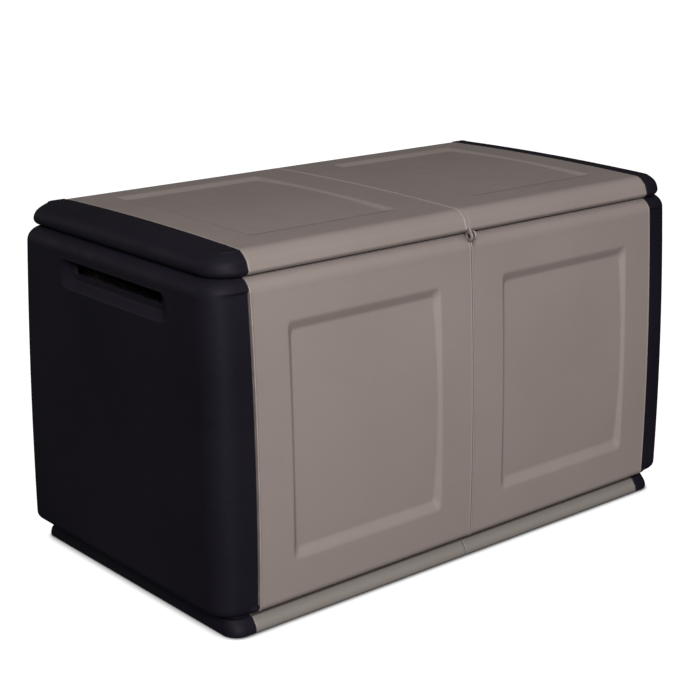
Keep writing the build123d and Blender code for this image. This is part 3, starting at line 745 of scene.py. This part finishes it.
def grip_collar(shape):
    """Tube behind the finger slot."""
    start = HALF_LENGTH - GRIP_DEPTH - 0.3
    end = HALF_LENGTH - GRIP_DEPTH - GRIP_COLLAR
    middle_z = (SLOT_LOW + SLOT_HIGH) / 2
    open_y, open_z = SLOT_HALF - 0.15, (SLOT_HIGH - SLOT_LOW) / 2 - 0.15
    section = [(start, 0), (end + 1, 0), (end, 1), (end, WALL - 1), (end + 1, WALL), (start, WALL)]
    points = []
    for x, grow in section:
        radius = LIP_R + grow
        side_y, side_z = open_y + grow - radius, open_z + grow - radius
        for quarter, (cy, cz) in enumerate(((1, 1), (-1, 1), (-1, -1), (1, -1))):
            for a in np.radians(90.0 * quarter + 22.5 * np.arange(5)):
                y = cy * side_y + radius * math.cos(a)
                points.append((x, y, middle_z + cz * side_z + radius * math.sin(a)))
    shape.add(points, tube_faces(len(points) // len(section), len(section), closed=True))


# ---------- base
def base_path(inset):
    """Half cross-section of the base as (half depth, z), foot to middle."""
    foot, head, neck = PLINTH_FOOT_Y - inset, PLINTH_HEAD_Y - inset, NECK_Y - inset
    plinth_top, floor_top = PLINTH_TOP - inset, PANEL_BOTTOM - inset
    return rounded_path([
        (PLINTH_FOOT_Y - PLINTH_FOOT_R, 0.0, 0),
        (foot, 0.0, 0.5 + PLINTH_FOOT_R - inset),
        (foot - PLINTH_BROW_IN, PLINTH_BROW_Z, PLINTH_BROW_R),
        (head, plinth_top, max(PLINTH_HEAD_R - inset, 0.3)),
        (neck, plinth_top, 1.0 + inset * 0.3),
        (neck, floor_top, max(1.5 - inset, 0.3)),
        (NECK_Y - 8, floor_top, 0),
    ], 4)


def cross_ribs(shape, x0, x1):
    """Ribs along X under the floor."""
    for y in RIB_Y:
        block(shape, (x0, y - RIB / 2, RIB_BOTTOM + 0.2), (x1, y + RIB / 2, RIB_TOP))


def base_wall(shape, x0, x1):
    """Upright from front to rear under the floor."""
    block(shape, (x0, -NECK_Y + 2, RIB_BOTTOM), (x1, NECK_Y - 2, RIB_TOP))


def floor_panel():
    """Plinth strips, floor, ribs and kerbs of the right-hand base module."""
    shape = Shape()
    middle = lines(6.0, SEAM_X - 6.0, 20.0, [], 1)
    stations = np.concatenate([[GAP, 3.0], middle, [SEAM_X - 3.0, SEAM_X - GAP]])
    grids = []
    for inset in (0.0, WALL):
        half = base_path(inset)
        deck = [(-y, PANEL_BOTTOM - inset) for y in np.linspace(220, -220, 23)]
        path = np.concatenate([half * (-1, 1), deck, half[::-1]])
        grids.append(np.stack(spanned(stations, path), -1))
    sheet(shape, *grids, (1.2, 1.2), (2.0, 2.0), MODULE_EDGES)
    cross_ribs(shape, GAP + 0.3, SEAM_X - GAP - 0.3)
    for x in RIB_X:
        base_wall(shape, x - RIB / 2, x + RIB / 2)
    base_wall(shape, 0.0, WALL)
    base_wall(shape, SEAM_X - WALL, SEAM_X)
    for side in (-1, 1):
        y0, y1 = sorted((side * KERB_Y, side * (KERB_Y - WALL)))
        block(shape, (GAP, y0, PANEL_BOTTOM - 0.5), (SEAM_X - GAP, y1, KERB_TOP), 0.9)
    return shape


def base_end_rings(inset):
    """Outlines of the black base end, foot to floor: half x, half y, radius, z."""
    rings = []
    for d, z in base_path(inset):
        outer_d = d + inset
        rise = np.clip((PLINTH_FOOT_Y - outer_d) / (PLINTH_FOOT_Y - PLINTH_HEAD_Y), 0, 1)
        sunk = np.clip((PLINTH_HEAD_Y - outer_d) / (PLINTH_HEAD_Y - NECK_Y), 0, 1)
        half_x = PLINTH_FOOT_X + (PLINTH_HEAD_X - PLINTH_FOOT_X) * rise + (NECK_X - PLINTH_HEAD_X) * sunk
        half_x -= max(NECK_Y - outer_d, 0.0)
        rings.append((half_x - inset, d, max(BASE_CORNER_R - inset - 4 * sunk, 0.0), z))
    half_x, half_y, radius, z = rings[-1]
    for inward in np.linspace(0, half_x - SEAM_X - GAP - 0.05, 7)[1:]:
        rings.append((half_x - inward, half_y - inward, max(radius - inward, 0.0), z))
    return rings


def kerb_rings(inset):
    """Rings of the kerb that the black end drops over."""
    heights = (PANEL_BOTTOM - 0.5, PANEL_BOTTOM + 2, KERB_TOP - 2, KERB_TOP)
    return [(MOUTH_X - 0.5 - inset, KERB_Y - inset, RIM_R - inset, z) for z in heights]


def base_end():
    """Black end of the base on the +X side, with its ribs and kerb."""
    shape = Shape()
    walk = end_walk(np.linspace(-140, 140, 15), 3, 10, 3)
    grids = [walk_grid(walk, base_end_rings(inset)) for inset in (0.0, WALL)]
    sheet(shape, *grids, (1.2, 1.0), (2.0, 2.0), END_EDGES)
    base_wall(shape, SEAM_X, SEAM_X + WALL)
    cross_ribs(shape, SEAM_X + 1, HALF_LENGTH - 33)
    kerb = [walk_grid(walk, kerb_rings(inset)) for inset in (0.0, WALL)]
    sheet(shape, *kerb, (0.2, 1.0), (0.8, 0.8), END_EDGES)
    return shape


# ---------- lid
def crown(y):
    """Height of the lid's domed top at depth y."""
    return LID_SHOULDER + LID_CROWN * (1 - (y / LID_TOP_Y) ** 2)


def lid_half_path(rows):
    """Front half of the lid's cross-section as (y, z), skirt to crown rows."""
    corners = [(-LID_HALF_Y + LID_TUCK, LID_LOW, 0), (-LID_HALF_Y, LID_SKIRT_Z, LID_SKIRT_R)]
    corners += [(-LID_BAND_Y, LID_BAND_Z, LID_BAND_R), (-LID_TOP_Y, LID_SHOULDER, LID_SHOULDER_R)]
    corners += [(y, crown(y), 0) for y in rows]
    return rounded_path(corners, 6)


def normals_2d(path):
    """Outward normals of an open (y, z) path walked from front to rear."""
    tangent = np.gradient(path, axis=0)
    return unit(np.stack([-tangent[:, 1], tangent[:, 0]], -1))


def lid_recess(x, y):
    """Depth of a lid module's recessed field, shallower in the middle."""
    x_range = (LID_RECESS_NEAR_SEAM, LID_SEAM_X - LID_RECESS_NEAR_END)
    y_range = (LID_RECESS_FRONT, LID_RECESS_REAR)
    depth = bowed_depth(y, y_range, LID_RECESS_SHALLOW, LID_RECESS_DEEP)
    return field_depth(x, y, x_range, y_range, LID_RUN, depth, LID_RECESS_CORNER, LID_RECESS_EDGE)


def seam_ease(x, seam, width, fall):
    """How far the lid's face eases down towards a seam."""
    t = np.clip(1 - np.abs(x - seam) / width, 0, 1)
    return fall * t * t


def downstand(shape, x0):
    """Joining flange under the lid at a seam, in two steps that clear the rain lip."""
    x1 = x0 + WALL
    block(shape, (x0, -LID_HALF_Y + 10, RIM_TOP + DOWNSTAND_GAP), (x1, LID_HALF_Y - 10, LID_BAND_Z - 6))
    block(shape, (x0, -LID_TOP_Y + 2, LID_BAND_Z - 7), (x1, LID_TOP_Y - 2, LID_SHOULDER - 2))


def lid_panel(with_rib):
    """Taupe lid module on the +X side."""
    zones = edge_zones(LID_RECESS_FRONT, LID_RECESS_REAR, 3, 21)
    rows = lines(-LID_ROWS_Y, LID_ROWS_Y, 12.0, zones, 1.1)
    front_half = lid_half_path(rows[rows <= 0])
    rear_half = lid_half_path(-rows[rows > 0][::-1])
    path = np.concatenate([front_half, rear_half[::-1] * (-1, 1)])
    facing = normals_2d(path)
    x_zones = edge_zones(LID_RECESS_NEAR_SEAM, LID_SEAM_X - LID_RECESS_NEAR_END, 3, 15)
    x_zones += [(4.0, 12.0), (LID_SEAM_X - 10, LID_SEAM_X - 4)]
    middle = lines(4.0, LID_SEAM_X - 4, 14.0, x_zones, 0.8)
    stations = np.concatenate([[GAP, 2.2], middle, [LID_SEAM_X - 2.2, LID_SEAM_X - GAP]])
    x, y, z = spanned(stations, path)
    rise = -np.where(np.abs(y) < LID_TOP_Y - 8, lid_recess(x, y), 0.0)
    rise = rise - seam_ease(x, LID_SEAM_X, 5.0, 0.4)
    if with_rib:
        above = smooth_step((z - LID_LOW - 2) / 4)
        fade = smooth_step((RIB_END_Y - y) / 12)
        rise = rise + above * fade * RIB_HIGH * smooth_step((RIB_WIDE + BEAD_EASE / 2 - x) / BEAD_EASE)
    else:
        rise = rise - seam_ease(x, 0, 6.0, 0.5)
    base = np.stack([x, y, z], -1)
    push = np.zeros_like(base)
    push[..., 1:] = facing
    outer = base + push * rise[..., None]
    inner = base + push * (rise - WALL)[..., None]
    inner[:, 0, 2] = LID_LOW
    inner[:, -1, 2] = LID_LOW
    shape = Shape()
    sheet(shape, outer, inner, (1.6, 1.6), (1.3, 1.3), MODULE_EDGES)
    for x0 in (0.0, LID_SEAM_X - WALL):
        downstand(shape, x0)
    for place in HINGE_PLACES:
        lid_knuckle(shape, place)
    return shape


def lid_knuckle(shape, x):
    """Knuckle round a hinge pin, on an arm from the lid, with the heel that stops it."""
    arm = [
        (HINGE_Y, HINGE_Z + KNUCKLE_R), (HINGE_Y - 4, HINGE_Z + 16), (HINGE_Y - 11, HINGE_Z + 16),
        (HINGE_Y - 11, HINGE_Z + 4.5), (HINGE_Y - KNUCKLE_R + 1, HINGE_Z), (HINGE_Y, HINGE_Z),
    ]
    c, s = math.cos(HEEL_TILT), math.sin(HEEL_TILT)
    heel = []
    for u, v in ((0, -HEEL_HALF), (HEEL_LENGTH, -HEEL_HALF), (HEEL_LENGTH, HEEL_HALF), (0, HEEL_HALF)):
        heel.append((HINGE_Y + u * c - v * s, HINGE_Z + u * s + v * c))
    half = LID_KNUCKLE / 2
    eye_plate(shape, x - half, x + half, (HINGE_Y, HINGE_Z), PIN_R + PIN_ROOM, KNUCKLE_R, [arm, heel])


def resample(path, count, along=None):
    """The path as count points, evenly spaced along it or along another path."""
    gaps = np.linalg.norm(np.diff(path if along is None else along, axis=0), axis=1)
    steps = np.concatenate([[0], np.cumsum(gaps)])
    at = np.linspace(0, steps[-1], count)
    return np.stack([np.interp(at, steps, column) for column in path.T], -1)


def nose_path(depth, count, turns=24):
    """Rounded section of the lid's end as (inset, height, lift).

    lift is the share of the way from the nose's height to the crown.
    """
    nose = [(LID_TUCK, LID_LOW, 0.0), (1.2, LID_LOW + 3.2, 0.0), (0.2, LID_LOW + 6.2, 0.0)]
    nose.append((0.0, LID_NOSE_Z, 0.0))
    for k in range(1, turns + 1):
        a = math.pi / 2 * k / turns
        nose.append((LID_NOSE * (1 - math.cos(a) ** NOSE_FULL), LID_NOSE_Z, math.sin(a) ** NOSE_FULL))
    nose.append((depth, LID_NOSE_Z, 1.0))
    nose = np.array(nose)
    seen = np.stack([nose[:, 0], nose[:, 1] + (LID_SHOULDER - LID_NOSE_Z) * nose[:, 2]], -1)
    return resample(nose, count, seen)


def lid_end(count=64):
    """Black bull-nosed lid end on the +X side."""
    seam_x = LID_SEAM_X + GAP
    depth = LID_HALF_X - seam_x - 0.05
    nose = nose_path(depth, count)
    flank = resample(lid_half_path([-LID_ROWS_Y, -LID_HALF_Y + depth]), count)
    walk = end_walk(np.linspace(-140, 140, 21), 6, 16, 6)
    outer = np.zeros((len(walk), count, 3))
    for i, step in enumerate(walk):
        _, _, facing = walk_point(LID_HALF_X, LID_HALF_Y, LID_CORNER_R, step, seam_x)
        for j in range(count):
            flank_in, flank_z = flank[j, 0] + LID_HALF_Y, flank[j, 1]
            nose_in, nose_z, lift = nose[j]
            inset = facing * flank_in + (1 - facing) * nose_in
            radius = max(LID_CORNER_R - inset, min(4.0, LID_HALF_X - inset - seam_x))
            x, y, _ = walk_point(LID_HALF_X - inset, LID_HALF_Y - inset, radius, step, seam_x)
            nose_z += (crown(min(abs(y), LID_TOP_Y)) - LID_NOSE_Z) * lift
            if flank_in > LID_HALF_Y - LID_TOP_Y:
                flank_z = crown(y)
            outer[i, j] = (x, y, facing * flank_z + (1 - facing) * nose_z)
    along = np.gradient(outer, axis=0)
    normal = unit(np.cross(along, np.gradient(outer, axis=1)))
    if normal[len(walk) // 2, 2, 0] < 0:
        normal = -normal
    normal[np.linalg.norm(along, axis=-1) < 1e-3] = (0, 0, 1)
    inner = outer - normal * WALL
    inner[:, 0, 2] = LID_LOW
    inner[0, :, 0] = outer[0, :, 0]
    inner[-1, :, 0] = outer[-1, :, 0]
    inner[:, -1, 0] = outer[:, -1, 0]
    shape = Shape()
    sheet(shape, outer, inner, (1.6, 0.9), (1.3, 1.3), END_EDGES)
    downstand(shape, LID_SEAM_X)
    return shape


# ---------- materials
PAINTED_SHADE_REACH = 0.022  # metres from a joint or overhang over which painted shade darkens the resin
PAINTED_SHADE_MAP = (0.25, 0.90, 0.0, 1.0)  # openness from and to, then its share of the unshaded resin colour
PAINTED_SHADOW_REACH = 0.026  # metres over which a painted contact shadow darkens the floor beside the box
PAINTED_SHADOW_GLOW = (0.48, 0.90, 0.06, 1.0)  # openness from and to, then the floor's glow, dimmed near the box as a painted contact shadow


def add(tree, kind, output, inputs, **settings):
    """Output of a new node with these settings and inputs; a socket is linked."""
    node = tree.nodes.new("ShaderNode" + kind)
    for key, value in settings.items():
        setattr(node, key, value)
    for key, value in inputs.items():
        if isinstance(value, bpy.types.NodeSocket):
            tree.links.new(value, node.inputs[key])
        else:
            node.inputs[key].default_value = value
    return node.outputs[output]


def new_material(name):
    """A material with its node tree, its shader and the object's own coordinates."""
    material = bpy.data.materials.new(name)
    material.use_nodes = True
    tree = material.node_tree
    return material, tree, tree.nodes["Principled BSDF"], add(tree, "TexCoord", "Object", {})


def noise(tree, vector, scale, detail=2.0, rough=0.5):
    inputs = {"Vector": vector, "Scale": scale, "Detail": detail, "Roughness": rough}
    return add(tree, "TexNoise", "Fac", inputs)


def spread(tree, source, *limits):
    """Source taken from one range to another: from low, from high, to low, to high."""
    names = ("From Min", "From Max", "To Min", "To Max")
    return add(tree, "MapRange", "Result", {"Value": source, **dict(zip(names, limits))})


def ramp(tree, source, low, high):
    """Colour ramp between two (position, colour) stops."""
    colour = add(tree, "ValToRGB", "Color", {"Fac": source})
    for stop, (position, shade) in zip(colour.node.color_ramp.elements, (low, high)):
        stop.position = position
        stop.color = (*shade, 1)
    return colour


def mix(tree, share, a, b):
    return add(tree, "Mix", "Result", {"Factor": share, "A": a, "B": b}, data_type="RGBA")


def bump(tree, height, strength, distance, **below):
    inputs = {"Strength": strength, "Distance": distance, "Height": height, **below}
    return add(tree, "Bump", "Normal", inputs)


def resin(name, low, high, worn, roughness, grain, specular, painted_shade=None):
    """Moulded resin: mottled colour, stippled skin, paler rubbed edges.

    The optional last colour is painted shade, laid in where joints, gaps and overhangs close the resin
    in.
    """
    material, tree, shader, coords = new_material(name)
    cloud = noise(tree, coords, 5.0, 4.0)
    speck = noise(tree, coords, 260.0)
    mottle = add(tree, "Math", "Value", {0: speck, 1: 0.35, 2: cloud}, operation="MULTIPLY_ADD")
    tone = ramp(tree, mottle, (0.5, low), (0.85, high))
    edge = spread(tree, add(tree, "NewGeometry", "Pointiness", {}), 0.52, 0.60, 0.0, 1.0)
    patch = spread(tree, noise(tree, coords, 24.0, 5.0, 0.7), 0.42, 0.62, 0.15, 0.8)
    wear = add(tree, "Math", "Value", {0: edge, 1: patch}, operation="MULTIPLY")
    colour = mix(tree, wear, tone, (*worn, 1))
    if painted_shade:
        # painted shade: where ambient occlusion finds the surface closed in, the colour darkens towards
        # the shade colour
        shade_openness = add(tree, "AmbientOcclusion", "AO", {"Distance": PAINTED_SHADE_REACH}, samples=8)
        colour = mix(tree, spread(tree, shade_openness, *PAINTED_SHADE_MAP), (*painted_shade, 1), colour)
    tree.links.new(colour, shader.inputs["Base Color"])
    gloss = spread(tree, noise(tree, coords, 34.0, 3.0), 0.3, 0.7, roughness - 0.05, roughness + 0.07)
    tree.links.new(gloss, shader.inputs["Roughness"])
    stipple = bump(tree, noise(tree, coords, 1150.0, 2.0, 0.6), grain, 0.00025)
    peel = bump(tree, noise(tree, coords, 70.0), 0.25, 0.0006, Normal=stipple)
    tree.links.new(peel, shader.inputs["Normal"])
    shader.inputs["IOR"].default_value = 1.49
    shader.inputs["Specular IOR Level"].default_value = specular
    return material


def zinc(name):
    """Zinc-plated steel with a faint brushed turn and dull patches."""
    material, tree, shader, coords = new_material(name)
    stretch = add(tree, "Mapping", "Vector", {"Vector": coords, "Scale": (2400.0, 220.0, 220.0)})
    brush = noise(tree, stretch, 1.0, 4.0)
    patch = noise(tree, coords, 180.0, 3.0)
    tone = ramp(tree, patch, (0.35, (0.42, 0.42, 0.40)), (0.7, (0.66, 0.66, 0.64)))
    tree.links.new(tone, shader.inputs["Base Color"])
    tree.links.new(spread(tree, brush, 0.0, 1.0, 0.28, 0.5), shader.inputs["Roughness"])
    tree.links.new(bump(tree, brush, 0.3, 0.0001), shader.inputs["Normal"])
    shader.inputs["Metallic"].default_value = 1.0
    return material


def floor_material():
    """White floor that glows, with a painted contact shadow where the box stands close."""
    material, tree, shader, coords = new_material("studio_floor")
    tone = ramp(tree, noise(tree, coords, 1.5), (0.0, (0.20, 0.20, 0.20)), (1.0, (0.22, 0.22, 0.22)))
    tree.links.new(tone, shader.inputs["Base Color"])
    shader.inputs["Roughness"].default_value = 0.8
    shader.inputs["Specular IOR Level"].default_value = 0.1
    shader.inputs["Emission Color"].default_value = (1, 1, 1, 1)
    # painted contact shadow: the floor's glow dims where ambient occlusion finds the box close by
    shadow_openness = add(tree, "AmbientOcclusion", "AO", {"Distance": PAINTED_SHADOW_REACH}, samples=16)
    tree.links.new(spread(tree, shadow_openness, *PAINTED_SHADOW_GLOW), shader.inputs["Emission Strength"])
    return material


# Each resin: its darker and paler tone, its rubbed edges, roughness, grain and gloss.
# painted shade colour for the taupe resins' joints, gaps and overhangs
TAUPE_PAINTED_SHADE = (0.068, 0.056, 0.052)
TAUPE = resin(
    "taupe_resin", (0.170, 0.140, 0.128), (0.181, 0.150, 0.138), (0.34, 0.295, 0.275),
    0.50, 0.35, 0.35, TAUPE_PAINTED_SHADE,
)
# plinth resin: a greyer taupe, made darker than the walls' as painted shade from the panels overhanging
# the plinth
PLINTH_TAUPE_SHADED = resin(
    "taupe_resin_base_shaded", (0.146, 0.129, 0.117), (0.154, 0.137, 0.125), (0.20, 0.18, 0.17),
    0.55, 0.35, 0.25, TAUPE_PAINTED_SHADE,
)
BLACK = resin(
    "black_resin", (0.0055, 0.0046, 0.0077), (0.0078, 0.0065, 0.0104), (0.017, 0.015, 0.020),
    0.58, 0.30, 0.07,
)
ZINC = zinc("zinc_steel")


# ---------- pieces
def pair(name, shape, material, body):
    """A right-hand piece and its mirror image on the left."""
    build(f"{name}_right", shape, material, body)
    build(f"{name}_left", shape.flipped(0), material, body)


def hasp_eye(x0, x1, arm):
    """Half of the padlock hasp: an eye on its arm."""
    shape = Shape()
    eye_plate(shape, x0, x1, (HASP_Y, HASP_Z), HASP_HOLE_R, HASP_EYE_R, [arm], 1.0)
    return shape


BODY_TAB_ARM = [
    (HASP_Y - 6.8, HASP_Z - 3), (HASP_Y - 2.5, PANEL_SHOULDER - 4), (HASP_Y + 12, PANEL_SHOULDER - 4),
    (HASP_Y + 12, HASP_Z + 1), (HASP_Y + 5, HASP_Z + 4.4),
]
LID_TAB_ARM = [
    (HASP_Y - 7.3, HASP_Z + 1), (HASP_Y - 3, LID_LOW + 6), (HASP_Y + 2.6, LID_LOW + 14),
    (HASP_Y + 7, LID_LOW + 14), (HASP_Y + 7, HASP_Z + 1),
]

front = wall_panel()
rear = front.flipped(1)
for hinge_x in HINGE_PLACES:
    hinge_ears(rear, hinge_x)
front_right = front.joined(hasp_eye(*BODY_TAB, BODY_TAB_ARM))
build("front_panel_right", front_right, TAUPE, "body")
build("front_panel_left", front.flipped(0), TAUPE, "body")
pair("rear_panel", rear, TAUPE, "body")
pair("side_panel", side_panel(), BLACK, "body")
pair("floor", floor_panel(), PLINTH_TAUPE_SHADED, "body")
pair("base_end", base_end(), BLACK, "body")

lid_left = lid_panel(True).flipped(0).joined(hasp_eye(*LID_TAB, LID_TAB_ARM))
build("lid_panel_right", lid_panel(False), TAUPE, "lid")
build("lid_panel_left", lid_left, TAUPE, "lid")
pair("lid_end", lid_end(), BLACK, "lid")


def hinge_pin(x):
    """Pin with a domed head on its left, through two ears and a knuckle."""
    shape = Shape()
    reach = LID_KNUCKLE / 2 + KNUCKLE_GAP + EAR + 0.5
    left, tip = x - reach, x + reach
    lathe(shape, [
        (left - 2.0, 1.2), (left - 1.9, 2.8), (left - 1.4, PIN_HEAD_R - 0.6), (left - 0.7, PIN_HEAD_R),
        (left - 0.2, PIN_HEAD_R), (left, PIN_HEAD_R - 0.2), (left, PIN_R), (left + 1, PIN_R),
        (tip - 0.8, PIN_R), (tip - 0.3, PIN_R - 0.3), (tip, PIN_R - 0.9),
    ], HINGE_Y, HINGE_Z, 1)
    return shape


for number, hinge_x in enumerate([-x for x in HINGE_PLACES[::-1]] + list(HINGE_PLACES), start=1):
    build(f"hinge_pin_{number}", hinge_pin(hinge_x), ZINC, "body")


def screws(seam_x, side_x, places):
    """Pan-head screws with a driver socket, heads on the module side."""
    shape = Shape()
    head = seam_x - WALL
    top = head - SCREW_HEAD
    profile = [
        (top + 1.3, 0.9), (top, 1.3), (top, 2.4), (top + 0.3, 3.3), (top + 1.0, 4.0),
        (head - 0.4, SCREW_HEAD_R), (head, SCREW_HEAD_R - 0.2), (head, SCREW_R),
    ]
    for k in range(8):
        x = head + 1.0 + k * 1.2
        profile += [(x, SCREW_R - 0.35), (x + 0.6, SCREW_R)]
    profile += [(head + SCREW_LENGTH - 0.8, 1.3), (head + SCREW_LENGTH, 0.3)]
    for y, z in places:
        lathe(shape, profile, y, z, side_x, 24)
    return shape


for side_name, side_x in (("left", -1), ("right", 1)):
    for end_name, side_y in (("front", -1), ("rear", 1)):
        spots = [(side_y * FLANGE_SCREW_Y, z) for z in FLANGE_SCREW_Z]
        name = f"corner_screws_{end_name}_{side_name}"
        build(name, screws(SEAM_X, side_x, spots), ZINC, "body")
    spots = [(y, LID_SCREW_Z) for y in LID_SCREW_Y]
    build(f"lid_end_screws_{side_name}", screws(LID_SEAM_X, side_x, spots), ZINC, "lid")

for key in ("front_seam_key", "rear_seam_key", "floor_seam_keys", "lid_seam_key"):
    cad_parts[key].data.materials.clear()
    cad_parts[key].data.materials.append(BLACK)


# ---------- studio
FLOOR_HALF = 40  # metres
BOX_MIDDLE = Vector((0, 0, 0.28))

ground = bpy.data.meshes.new("studio_floor")
plan = [(x * FLOOR_HALF, y * FLOOR_HALF, 0) for x, y in ((-1, -1), (1, -1), (1, 1), (-1, 1))]
ground.from_pydata(plan, [], [(0, 1, 2, 3)])
ground.materials.append(floor_material())
ground_object = bpy.data.objects.new("studio_floor", ground)
bpy.context.scene.collection.objects.link(ground_object)
ground_object.visible_diffuse = False
ground_object.visible_glossy = False


def from_azimuth(azimuth, elevation):
    """Direction towards the viewer or a light at these angles."""
    c = math.cos(elevation)
    return Vector((math.sin(azimuth) * c, -math.cos(azimuth) * c, math.sin(elevation)))


def softbox(name, azimuth, elevation, distance, size, power, colour=(1, 1, 1)):
    """Area light aimed at the middle of the box."""
    direction = from_azimuth(math.radians(azimuth), math.radians(elevation))
    light = bpy.data.lights.new(name, "AREA")
    light.shape = "RECTANGLE"
    light.size, light.size_y = size
    light.energy = power
    light.color = colour
    lamp = bpy.data.objects.new(name, light)
    lamp.location = BOX_MIDDLE + direction * distance
    lamp.rotation_euler = direction.to_track_quat("Z", "Y").to_euler()
    bpy.context.scene.collection.objects.link(lamp)


softbox("key_softbox", -30, 27, 5.5, (2.4, 1.8), 480)
softbox("rim_softbox", 218, 16, 4.5, (2.2, 1.2), 22, (0.96, 0.92, 1.0))

# A white sky that is brightest overhead and dim at the horizon.
world = bpy.data.worlds.new("studio")
bpy.context.scene.world = world
world.use_nodes = True
sky = world.node_tree
background = sky.nodes["Background"]
background.inputs["Color"].default_value = (1, 1, 1, 1)
direction_of = add(sky, "TexCoord", "Generated", {})
height = add(sky, "SeparateXYZ", "Z", {0: direction_of})
sky.links.new(spread(sky, height, 0.3, 0.85, 0.06, 0.29), background.inputs["Strength"])
bpy.context.scene.view_settings.view_transform = "Standard"

# ---------- camera
CAMERA_AZIMUTH = math.radians(-40.94)
CAMERA_ELEVATION = math.radians(16.84)
CAMERA_ROLL = math.radians(0.277)
CAMERA_AT = Vector((-1.7164, -1.9472, 1.0738))
CAMERA_LENS = 83.03

back = from_azimuth(CAMERA_AZIMUTH, CAMERA_ELEVATION)
right = (-back).cross(Vector((0, 0, 1))).normalized()
up = right.cross(-back)
roll_c, roll_s = math.cos(CAMERA_ROLL), math.sin(CAMERA_ROLL)
right, up = right * roll_c + up * roll_s, up * roll_c - right * roll_s
camera_data = bpy.data.cameras.new("camera")
camera_data.lens = CAMERA_LENS
camera_data.sensor_width = 36.0
camera = bpy.data.objects.new("camera", camera_data)
camera.matrix_world = Matrix.Translation(CAMERA_AT) @ Matrix((right, up, back)).transposed().to_4x4()
bpy.context.scene.collection.objects.link(camera)
bpy.context.scene.camera = camera
